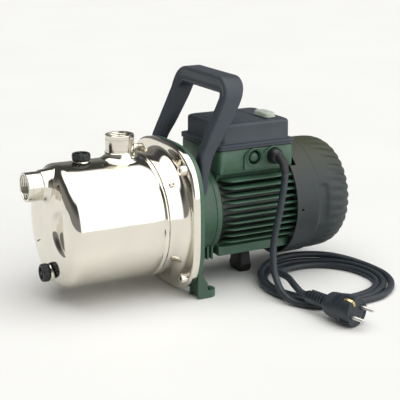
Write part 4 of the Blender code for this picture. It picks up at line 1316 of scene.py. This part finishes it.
def fin_tip(z):
    """How far from the middle a cooling fin reaches at a height."""
    spread = FIN_REACH - 3.2 * z * z
    if z < -0.02:
        spread -= 0.22 * (-0.02 - z)
    return min(spread, math.sqrt(FIN_LIMIT_RADIUS**2 - z * z))


def fin_shape(side, z):
    """One cooling fin: thick at its root, rounded at its tip and swept in at its front end."""
    tip = fin_tip(z)
    root = math.sqrt(max(FIN_ROOT_RADIUS**2 - z * z, 0)) - 0.004
    start, end = HOUSING_X[0] + 0.0012, HOUSING_X[1]
    rings = []
    sweep_length = 0.016
    stations = [sweep_length * i / 8 for i in range(9)]
    stations += [sweep_length + (end - start - sweep_length) * i / 4 for i in range(1, 5)]
    for along in stations:
        share = min(along / sweep_length, 1.0)
        reach = root + 0.0030 + (tip - root - 0.0030) * math.sin(math.pi / 2 * share) ** 0.8
        half_root, half_tip = 0.0020, 0.00095
        section = [
            (root, -half_root),
            (reach - 0.0009, -half_tip - 0.0001),
            (reach - 0.0003, -half_tip * 0.7),
            (reach, 0.0),
            (reach - 0.0003, half_tip * 0.7),
            (reach - 0.0009, half_tip + 0.0001),
            (root, half_root),
        ]
        rings.append([(start + along, side * y, z + up) for y, up in section])
    return loft(rings)


class PUMP_OT_motor_body(bpy.types.Operator):
    """Finned motor body with its box pad and base pad"""

    bl_idname = "pump.motor_body"
    bl_label = "Motor body"

    def execute(self, context):
        start, end = HOUSING_X
        bore = STATOR_RADIUS + GAP
        barrel = [(start, bore), (start, FIN_ROOT_RADIUS - 0.001), (start + 0.001, FIN_ROOT_RADIUS)]
        barrel += [(end - 0.001, FIN_ROOT_RADIUS), (end, FIN_ROOT_RADIUS - 0.001), (end, bore)]
        # The barrel and fins take fin_paint, whose painted shade darkens the fin roots.
        add_piece("motor_barrel", turned("X", barrel, 128), "fin_paint", ("motor_housing",))

        inner = [
            (bore * math.sin(math.radians(a)), bore * math.cos(math.radians(a))) for a in range(-48, 49, 4)
        ]
        edge = BOX_HALF_Y - 0.0008
        pad = [*inner, (0.0440, 0.0520), (edge, 0.0535), (edge, PAD_TOP_Z), (-edge, PAD_TOP_Z)]
        pad += [(-edge, 0.0535), (-0.0440, 0.0520)]
        top = make_piece("box_pad", prism("X", start + 0.0002, end, pad), bevel=0.0008)
        inner = [(-y, -z) for y, z in inner]
        base = [*inner, (-0.0440, -0.0430), (-0.0500, -0.0455), (-0.0500, BASE_PAD_Z), (0.0500, BASE_PAD_Z)]
        base += [(0.0500, -0.0455), (0.0440, -0.0430)]
        low = make_piece("base_pad", prism("X", start + 0.0002, end, base), bevel=0.0012)
        fins = bmesh.new()
        for number in range(FIN_COUNT):
            for side in (-1, 1):
                made = fin_shape(side, LOWEST_FIN_Z + FIN_PITCH * number)
                scrap = bpy.data.meshes.new("fin")
                made.to_mesh(scrap)
                made.free()
                fins.from_mesh(scrap)
                bpy.data.meshes.remove(scrap)
        cooling = make_piece("cooling_fins", fins, sharp=50)
        for part in (top, low):
            dress(part, "green_paint", "pump_body")
        dress(cooling, "fin_paint", "pump_body")
        return {"FINISHED"}


def cover_profile():
    """Outside of the fan cover as (x, radius), from its open front to the middle of its rear."""
    profile = [(COVER_START_X, COVER_RADIUS - 0.0008), (COVER_START_X + 0.0008, COVER_RADIUS)]
    profile += [(x, COVER_RADIUS) for x in (0.168, 0.174, 0.180, 0.186, 0.1915)]
    profile += [(0.1945, COVER_RADIUS), (0.1965, COVER_RADIUS - 0.0001), (0.1978, COVER_RADIUS - 0.0012)]
    profile += [(0.1985, COVER_RADIUS - 0.0018)]
    points = [(0.204, 0.0779), (0.212, 0.0780), (0.222, 0.0780), (0.232, 0.0771), (0.240, 0.0753)]
    points += [(0.2475, 0.0712), (0.2525, 0.0655), (0.2560, 0.0570), (0.2577, 0.0460), (0.2586, 0.0330)]
    points += [(0.2590, 0.0200), (0.2590, 0.0)]
    knots = [Vector((x, r, 0)) for x, r in points]
    fine = [(point.x, max(point.y, 0)) for point in smooth_route(knots, 0.0016)]
    fine = [(min(x, COVER_END_X), r) for x, r in fine if r > 0.0008]
    return profile + fine


class PUMP_OT_fan_cover(bpy.types.Operator):
    """Fan cover: smooth band, ridge, ribbed rear with air slots, side panel and snap hole"""

    bl_idname = "pump.fan_cover"
    bl_label = "Fan cover"

    def execute(self, context):
        sizes = context.scene.pump_sizes
        ribs = sizes.cover_ribs
        steps = 8
        count = ribs * steps
        bm = bmesh.new()
        rows = []
        profile = cover_profile()
        for x, radius in profile:
            depth = sizes.rib_height * smooth_step(x, 0.206, 0.244) * smooth_step(radius, 0.010, 0.030)
            row = []
            for i in range(count):
                swirl = 0.50 * (x - 0.2) / 0.06
                phase = (i / steps + swirl) % 1.0
                angle = math.tau * i / count
                valley = (0.5 - 0.5 * math.cos(math.tau * phase)) ** 1.6
                y, z = -math.cos(angle), math.sin(angle)
                panel = 0.0
                if y < -0.5:
                    up = radius * z
                    panel = smooth_step(x, 0.1990, 0.2002) * (1 - smooth_step(x, 0.2085, 0.2150))
                    panel *= smooth_step(up, -0.0300, -0.0120) * (1 - smooth_step(up, 0.0270, 0.0290))
                reach = radius - depth * valley - 0.0024 * panel
                row.append(bm.verts.new((x, reach * y, reach * z)))
            rows.append(row)
        pole = bm.verts.new((COVER_END_X, 0, 0))
        for index, (row, following) in enumerate(zip(rows, rows[1:])):
            radius = profile[index][1]
            x = profile[index][0]
            for i in range(count):
                phase = ((i + 0.5) / steps + 0.50 * (x - 0.2) / 0.06) % 1.0
                slot = 0.026 < radius < 0.064 and x > 0.235 and 0.30 < phase < 0.70
                if slot:
                    continue
                j = (i + 1) % count
                bm.faces.new((row[i], row[j], following[j], following[i]))
        for i in range(count):
            bm.faces.new((rows[-1][i], rows[-1][(i + 1) % count], pole))
        loose = [vert for vert in bm.verts if not vert.link_faces]
        bmesh.ops.delete(bm, geom=loose, context="VERTS")
        cover = make_piece("fan_cover_moulding", bm, sharp=40)
        modifier = cover.modifiers.new("wall", "SOLIDIFY")
        modifier.thickness = COVER_WALL - 0.0004
        modifier.offset = -1
        notch = block((0.150, 0.1712), (-0.0572, 0.0572), (0.0550, 0.100))
        drill("Y", (-0.10, -0.05), 0.0018, (0.1700, -0.0013), notch)
        carve(cover, notch, sharp=40)
        cover.modifiers.clear()
        dress(cover, "cover_plastic", "pump_body", ("fan_cover",))
        return {"FINISHED"}


# ---------------------------------------------------------------- terminal box, lid and switch
def arch(centre_x, radius):
    """Outline, in X and Z, of the raised pad round a hole in the box's side."""
    bottom, spring, top = PAD_TOP_Z - 0.0048, HOLE_Z - 0.0030, BOX_TOP_Z - 0.0012
    points = [(centre_x + radius, bottom)]
    for step in range(25):
        angle = math.pi * step / 24
        points.append(
            (centre_x + radius * math.cos(angle), spring + (top - spring) * math.sin(angle) ** 0.7)
        )
    points.append((centre_x - radius, bottom))
    return points


class PUMP_OT_terminal_box(bpy.types.Operator):
    """Terminal box with arched pads, the knockout, the cable gland and the lid gasket"""

    bl_idname = "pump.terminal_box"
    bl_label = "Terminal box"

    def execute(self, context):
        middle = sum(BOX_X) / 2
        half = ((BOX_X[1] - BOX_X[0]) / 2, BOX_HALF_Y)
        floor = PAD_TOP_Z + GAP

        def outline(z, inset, corner=0.0065):
            return rectangle_ring("Z", z, (middle, 0), (half[0] - inset, half[1] - inset), corner, 8)

        rings = [outline(0.0552, 0.0005), outline(0.0558, 0.0), outline(BOX_TOP_Z - 0.0008, 0.0)]
        rings += [
            outline(BOX_TOP_Z, 0.0006),
            outline(BOX_TOP_Z, 0.0035, 0.004),
            outline(floor + 0.003, 0.0035, 0.004),
        ]
        box = make_piece("terminal_box_casting", loft(rings), sharp=40)
        holes = bmesh.new()
        for x in (GLAND_X, KNOCKOUT_X):
            drill("Y", (-0.07, -0.04), HOLE_RADIUS, (x, HOLE_Z), holes, 48)
        carve(box, holes, sharp=40)
        dress(box, "green_paint", "pump_body", ("terminal_box",))
        for x, label in ((KNOCKOUT_X, "knockout"), (GLAND_X, "gland")):
            hole = [(x + 0.0093 * math.cos(a), HOLE_Z + 0.0093 * math.sin(a)) for a in angles(48)]
            frame_bm = prism("Y", -0.0572, -0.0525, arch(x, 0.0152), (hole,))
            add_piece(f"{label}_arch", frame_bm, "green_paint", bevel=0.0009, segments=3)
            profile = [
                (-0.0560, 0.0108),
                (-0.0582, 0.0110),
                (-0.0585, 0.0113),
                (-0.0585, 0.0121),
                (-0.0582, 0.0125),
            ]
            profile += [(-0.0560, 0.0127)]
            add_piece(f"{label}_ring", turned("Y", profile, 72, (x, HOLE_Z)), "green_paint")
        dome = [(-0.0500, 0), (-0.0500, 0.0072), (-0.0532, 0.0072), (-0.0540, 0.0066)]
        dome += [
            (-0.0540 - 0.0036 * math.sin(math.radians(a)), 0.0064 * math.cos(math.radians(a)))
            for a in range(10, 90, 10)
        ]
        dome += [(-0.0576, 0)]
        add_piece(
            "knockout_dome",
            turned("Y", dome, 64, (KNOCKOUT_X, HOLE_Z), False),
            "green_paint",
            ("knockout_plug",),
        )

        bore = CORD_RADIUS + 0.0001
        gland = [
            (-0.0470, bore), (-0.0470, 0.0089), (-0.0586, 0.0089), (-0.0586, 0.0106), (-0.0592, 0.0108)
        ]
        gland += [(-0.0605, 0.0107)]
        gland += [
            (-0.0605 - 0.0105 * math.sin(math.radians(a)), 0.0058 + 0.0048 * math.cos(math.radians(a)))
            for a in range(8, 91, 8)
        ]
        gland += [(-0.0712, 0.0056), (-0.0712, bore)]
        add_piece(
            "gland_dome", turned("Y", gland, 64, (GLAND_X, HOLE_Z)), "black_plastic", ("cable_gland",)
        )

        def seal(z, inset):
            return rectangle_ring(
                "Z", z, (middle, 0), (half[0] - 0.0005 - inset, half[1] - 0.0005 - inset), 0.0060
            )

        low, high = BOX_TOP_Z + 0.0002, BOX_TOP_Z + 0.0013
        gasket = [seal(low, 0), seal(high, 0), seal(high, 0.003), seal(low, 0.003)]
        dress(
            make_piece("box_gasket", loft(gasket, closed=True)),
            "rubber",
            "pump_body",
            ("lid_gasket",),
        )
        return {"FINISHED"}


class PUMP_OT_box_lid(bpy.types.Operator):
    """Deep lid: two-line rim, raised body, grained panel on top and a groove beside the switch"""

    bl_idname = "pump.box_lid"
    bl_label = "Box lid"

    def execute(self, context):
        rim_middle = sum(BOX_X) / 2
        rim_half = ((BOX_X[1] - BOX_X[0]) / 2 + 0.0015, BOX_HALF_Y + 0.002)
        body_middle, body_half = sum(LID_X) / 2, ((LID_X[1] - LID_X[0]) / 2, LID_HALF_Y)

        def rim(z, inset, corner=0.0075):
            half = (rim_half[0] - inset, rim_half[1] - inset)
            return rectangle_ring("Z", z, (rim_middle, 0), half, corner, 8)

        def body(z, inset, corner=0.0085):
            half = (body_half[0] - inset, body_half[1] - inset)
            return rectangle_ring("Z", z, (body_middle, 0), half, corner, 8)

        base = BOX_TOP_Z + 0.0015
        rings = [body(LID_TOP_Z - 0.0003, 0.0060, 0.0030), body(LID_TOP_Z, 0.0046, 0.0040)]
        for angle in range(15, 91, 15):
            turn = math.radians(angle)
            rings.append(
                body(LID_TOP_Z - 0.0040 * (1 - math.cos(turn)), 0.0040 * (1 - math.sin(turn)) + 0.0001)
            )
        rings += [body(LID_RIM_TOP_Z + 0.0012, 0.0), body(LID_RIM_TOP_Z + 0.0002, -0.0007)]
        line = (LID_RIM_TOP_Z + base) / 2
        rings += [
            rim(LID_RIM_TOP_Z, 0.0012),
            rim(LID_RIM_TOP_Z - 0.0006, 0.0),
            rim(line + 0.0004, 0.0),
            rim(line + 0.0002, 0.0007),
            rim(line - 0.0002, 0.0007),
            rim(line - 0.0004, 0.0),
            rim(base + 0.0004, 0.0),
            rim(base, 0.0004),
            rim(base, 0.006),
            body(LID_RIM_TOP_Z - 0.0025, 0.0025, 0.0065),
            body(LID_TOP_Z - 0.005, 0.0025, 0.0065),
            body(LID_TOP_Z - 0.0025, 0.0065, 0.0025),
        ]
        lid = make_piece("box_lid_moulding", loft(rings), sharp=35)
        cuts = bmesh.new()
        hole_x = (SWITCH_X - 0.0067, SWITCH_X + 0.0067)
        hole_y = (SWITCH_Y - 0.0142, SWITCH_Y + 0.0142)
        block(hole_x, hole_y, (LID_TOP_Z - 0.008, LID_TOP_Z + 0.004), cuts)
        block((0.1351, 0.1364), (-0.0440, 0.0440), (LID_TOP_Z - 0.0009, LID_TOP_Z + 0.002), cuts)
        block((0.0690, 0.1330), (-0.0405, 0.0405), (LID_TOP_Z - 0.0006, LID_TOP_Z + 0.002), cuts)
        carve(lid, cuts, sharp=35)
        dress(lid, "slate_plastic", "pump_body", ("box_lid",))
        grained = loft(
            [
                rectangle_ring("Z", LID_TOP_Z - 0.0012, (0.1010, 0), (0.0318, 0.0403), 0.0010, 3),
                rectangle_ring("Z", LID_TOP_Z - 0.0002, (0.1010, 0), (0.0316, 0.0401), 0.0010, 3),
            ]
        )
        add_piece("lid_panel", grained, "slate_panel", bevel=0.0002)
        return {"FINISHED"}


class PUMP_OT_switch_boot(bpy.types.Operator):
    """Cloudy silicone boot over the rocker switch"""

    bl_idname = "pump.switch_boot"
    bl_label = "Switch boot"

    def execute(self, context):
        def outline(half_x, half_y, z, corner):
            return rectangle_ring("Z", z, (0, 0), (half_x, half_y), corner, 8)

        outer = [
            (0.0086, 0.0178, 0.0003, 0.0060),
            (0.0086, 0.0178, 0.0014, 0.0060),
            (0.0083, 0.0174, 0.0019, 0.0060),
        ]
        outer += [
            (0.0081, 0.0171, 0.0040, 0.0060),
            (0.0077, 0.0166, 0.0053, 0.0058),
            (0.0068, 0.0156, 0.0060, 0.0052),
        ]
        outer += [(0.0050, 0.0138, 0.0062, 0.0036)]
        inner = [
            (0.0048, 0.0134, 0.0054, 0.0034),
            (0.0066, 0.0154, 0.0050, 0.0045),
            (0.0073, 0.0162, 0.0036, 0.0050),
        ]
        inner += [(0.0076, 0.0165, 0.0016, 0.0050), (0.0076, 0.0165, 0.0003, 0.0050)]
        rings = [outline(x, y, z, corner) for x, y, z, corner in [*outer[::-1], *inner[::-1]]]
        matrix = Matrix.Translation(SHAFT + Vector((SWITCH_X, SWITCH_Y, LID_TOP_Z + 0.0003)))
        add_piece(
            "switch_boot_moulding", loft(rings), "clear_silicone", ("switch_boot",), matrix=matrix, sharp=60
        )
        return {"FINISHED"}


# ---------------------------------------------------------------- handle and rear foot
HANDLE_FRONT = ((0.036, 0.0205), (0.086, 0.0195), (0.127, 0.0390), (0.157, 0.0530), (0.1815, 0.0605))
HANDLE_REAR = (
    (0.036, 0.0280),
    (0.062, 0.0330),
    (0.0804, 0.0370),
    (0.0896, 0.0412),
    (0.104, 0.0515),
    (0.141, 0.0730),
    (0.168, 0.0855),
    (0.1815, 0.0890),
)


def read_line(line, z):
    for (z0, x0), (z1, x1) in zip(line, line[1:]):
        if z <= z1:
            return x0 + (x1 - x0) * max(z - z0, 0) / (z1 - z0)
    return line[-1][1]


def eased_line(line, z):
    """The line's value averaged a little above and below, so its corners are soft."""
    reach = 0.005
    return sum(read_line(line, z + reach * step / 4) for step in range(-4, 5)) / 9


class PUMP_OT_handle(bpy.types.Operator):
    """Carry handle: two raked legs and a grip with soft edges and a shallow face"""

    bl_idname = "pump.handle"
    bl_label = "Carry handle"

    def execute(self, context):
        leg_half, bar_half = HANDLE_LEG_WIDTH / 2, HANDLE_BAR_HEIGHT / 2
        middle_y = HANDLE_HALF_WIDTH - leg_half
        bar_z = HANDLE_TOP_Z - bar_half
        centre_y, centre_z = middle_y - HANDLE_CORNER, bar_z - HANDLE_CORNER
        line = []
        steps = 34
        for step in range(steps):
            line.append((middle_y, HANDLE_BOTTOM_Z + (centre_z - HANDLE_BOTTOM_Z) * step / steps, 0.0))
        corner_steps = 14
        for step in range(corner_steps + 1):
            angle = math.pi / 2 * step / corner_steps
            y = centre_y + HANDLE_CORNER * math.cos(angle)
            line.append((y, centre_z + HANDLE_CORNER * math.sin(angle), angle))
        line += [(-y, z, math.pi - angle) for y, z, angle in reversed(line)]
        rings = []
        for y, z, angle in line:
            reach = leg_half + (bar_half - leg_half) * math.sin(angle)
            level = min(z, bar_z)
            follow = read_line if level < HANDLE_FOOT_TOP_Z else eased_line
            front, rear = follow(HANDLE_FRONT, level), follow(HANDLE_REAR, level)
            bevel = min(HANDLE_BEVEL, (rear - front) * 0.3)
            section = []
            for across_sign, end, sign in ((-1, front, 1), (1, front, 1), (1, rear, -1), (-1, rear, -1)):
                corner = []
                for step in range(5):
                    turn = math.pi / 2 * step / 4
                    across = across_sign * (reach - bevel + bevel * math.cos(turn))
                    corner.append((across, end + sign * bevel * (1 - math.sin(turn))))
                section += corner if across_sign * sign < 0 else corner[::-1]
                if across_sign < 0 and sign > 0:
                    groove = HANDLE_GROOVE_DEPTH if z > HANDLE_GROOVE_START_Z else 0.0
                    section += [(-reach * 0.50, front), (-reach * 0.44, front + groove)]
                    section += [(reach * 0.44, front + groove), (reach * 0.50, front)]
            rings.append(
                [(x, y + across * math.cos(angle), z + across * math.sin(angle)) for across, x in section]
            )
        add_piece("handle_moulding", loft(rings), "slate_plastic", ("carry_handle",), sharp=50)
        return {"FINISHED"}


class PUMP_OT_rear_foot(bpy.types.Operator):
    """Rubber foot under the motor, waisted and flared at the ground"""

    bl_idname = "pump.rear_foot"
    bl_label = "Rear foot"

    def execute(self, context):
        middle = (0.120, 0)
        stations = [
            (GROUND, 0.0078, 0.0134, 0.002),
            (GROUND + 0.0008, 0.0085, 0.0141, 0.003),
            (GROUND + 0.0050, 0.0093, 0.0156, 0.003),
            (GROUND + 0.0100, 0.0095, 0.0160, 0.003),
            (GROUND + 0.0112, 0.0088, 0.0150, 0.003),
            (GROUND + 0.0240, 0.0080, 0.0136, 0.003),
            (BASE_PAD_Z - 0.0022, 0.0072, 0.0122, 0.003),
            (BASE_PAD_Z - 0.0020, 0.0080, 0.0132, 0.003),
            (BASE_PAD_Z - 0.0004, 0.0080, 0.0132, 0.003),
        ]
        rings = [rectangle_ring("Z", z, middle, (x, y), corner, 5) for z, x, y, corner in stations]
        add_piece("rear_rubber_foot", loft(rings), "rubber", ("rear_foot",), sharp=40)
        return {"FINISHED"}


# ---------------------------------------------------------------- CAD nodes that keep their shape
KEPT_NODES = {
    "brass": ("ejector_nozzle",),
    "black_plastic": (
        "venturi_tube", "diffuser", "impeller", "cooling_fan", "switch_base", "switch_rocker"
    ),
    "machined_steel": (
        "impeller_nut",
        "seal_plate",
        "rotor_shaft",
        "front_bearing_inner",
        "front_bearing_outer",
        "front_bearing_balls",
        "rear_bearing_inner",
        "rear_bearing_outer",
        "rear_bearing_balls",
    ),
    "ceramic": ("shaft_seal_rotor", "shaft_seal_seat"),
    "rubber": ("casing_o_ring",),
    "laminations": ("stator_core", "rotor_core"),
    "copper": ("winding_front", "winding_rear"),
    "green_paint": ("rear_end_shield",),
    "grey_plastic": ("run_capacitor", "terminal_block"),
}


class PUMP_OT_inner_parts(bpy.types.Operator):
    """Finishes of the working parts inside the pump, motor and box"""

    bl_idname = "pump.inner_parts"
    bl_label = "Inner parts"

    def execute(self, context):
        for finish, names in KEPT_NODES.items():
            for name in names:
                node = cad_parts[name]
                node.data.materials.clear()
                node.data.materials.append(FINISHES[finish])
        return {"FINISHED"}


# ---------------------------------------------------------------- stage
class PUMP_OT_stage(bpy.types.Operator):
    """Camera, pale floor and the soft studio around it"""

    bl_idname = "pump.stage"
    bl_label = "Stage"

    def execute(self, context):
        scene = context.scene
        settings = scene.pump_stage
        scene.view_settings.view_transform = "Standard"
        make_finishes(scene.pump_colours)

        camera_data = bpy.data.cameras.new("camera")
        camera_data.lens = CAMERA_LENS
        camera_data.sensor_width = 36
        camera_data.clip_end = 50
        camera = bpy.data.objects.new("camera", camera_data)
        level = math.cos(CAMERA_TILT)
        look = Vector(
            (math.sin(CAMERA_HEADING) * level, math.cos(CAMERA_HEADING) * level, -math.sin(CAMERA_TILT))
        )
        camera.location = CAMERA_PLACE
        camera.rotation_euler = look.to_track_quat("-Z", "Y").to_euler()
        scene.collection.objects.link(camera)
        scene.camera = camera

        self.build_studio(scene, settings)
        self.build_floor(settings)
        return {"FINISHED"}

    def build_studio(self, scene, settings):
        """Light by direction: bright in front and above, black panels behind and at the left."""
        world = bpy.data.worlds.new("studio")
        world.use_nodes = True
        scene.world = world
        n = Nodes(world.node_tree)
        direction = n.add("TexCoord", output="Generated")
        x = n.add("SeparateXYZ", values={0: direction})
        y, z = x.other(1), x.other(2)
        front = n.ease(z, 0.55, 0.75, settings.front_light, settings.high_light)
        front = front + n.ease(z, 0.80, 0.90) * (settings.roof_light - settings.high_light)
        low = n.ease(z, -0.02, 0.0)
        behind = n.ease(y, -0.05, 0.12) * (1 - n.ease(z, 0.76, 0.84)) * low
        left = n.ease(x, -0.05, -0.30) * (1 - n.ease(z, 0.70, 0.85)) * low
        dark = 1 - (1 - behind) * (1 - left)
        glow = n.ease(z, 0.60, 0.25, settings.dark_light, 4 * settings.dark_light)
        strength = front * (1 - dark) + glow * dark
        n.connect(world.node_tree.nodes["Background"].inputs["Strength"], strength)
        n.connect(world.node_tree.nodes["Background"].inputs["Color"], (1.0, 0.995, 0.975))

    def build_floor(self, settings):
        bm = bmesh.new()
        bmesh.ops.create_grid(bm, x_segments=24, y_segments=24, size=12.0)
        floor = make_piece("floor", bm, Matrix.Translation((0, 0, 0)))

        def build(n):
            cloud = n.ease(n.noise(0.30, 2.0), 0.3, 0.7)
            return {
                "Base Color": n.mix(cloud, shaded(settings.floor, 0.985), settings.floor),
                "Roughness": 0.75 + cloud * 0.1,
                "Specular IOR Level": 0.1,
            }

        make_finish("pale_floor", build)
        floor.data.materials.append(FINISHES["pale_floor"])


class PUMP_PT_panel(bpy.types.Panel):
    """The pump's builders and settings in the 3D view's sidebar"""

    bl_label = "Jet pump"
    bl_idname = "PUMP_PT_panel"
    bl_space_type = "VIEW_3D"
    bl_region_type = "UI"
    bl_category = "Jet pump"

    def draw(self, context):
        for operator in OPERATORS:
            self.layout.operator(operator.bl_idname)
        for group in ("pump_sizes", "pump_colours", "pump_stage"):
            settings = getattr(context.scene, group)
            box = self.layout.box()
            for name in settings.bl_rna.properties.keys():
                if name not in ("rna_type", "name"):
                    box.prop(settings, name)


OPERATORS = (
    PUMP_OT_stage,
    PUMP_OT_cord,
    PUMP_OT_plug,
    PUMP_OT_casing,
    PUMP_OT_ports,
    PUMP_OT_screw_caps,
    PUMP_OT_casing_bolts,
    PUMP_OT_bracket,
    PUMP_OT_motor_body,
    PUMP_OT_fan_cover,
    PUMP_OT_terminal_box,
    PUMP_OT_box_lid,
    PUMP_OT_switch_boot,
    PUMP_OT_handle,
    PUMP_OT_rear_foot,
    PUMP_OT_inner_parts,
)
GROUPS = {"pump_sizes": PumpSizes, "pump_colours": PumpColours, "pump_stage": PumpStage}


def register():
    for group in GROUPS.values():
        bpy.utils.register_class(group)
    for name, group in GROUPS.items():
        setattr(bpy.types.Scene, name, PointerProperty(type=group))
    for operator in OPERATORS:
        bpy.utils.register_class(operator)
    bpy.utils.register_class(PUMP_PT_panel)


def unregister():
    bpy.utils.unregister_class(PUMP_PT_panel)
    for operator in reversed(OPERATORS):
        bpy.utils.unregister_class(operator)
    for name in GROUPS:
        delattr(bpy.types.Scene, name)
    for group in reversed(list(GROUPS.values())):
        bpy.utils.unregister_class(group)


def main():
    register()
    for operator in OPERATORS:
        group, name = operator.bl_idname.split(".")
        getattr(getattr(bpy.ops, group), name)()


if __name__ == "__main__":
    main()
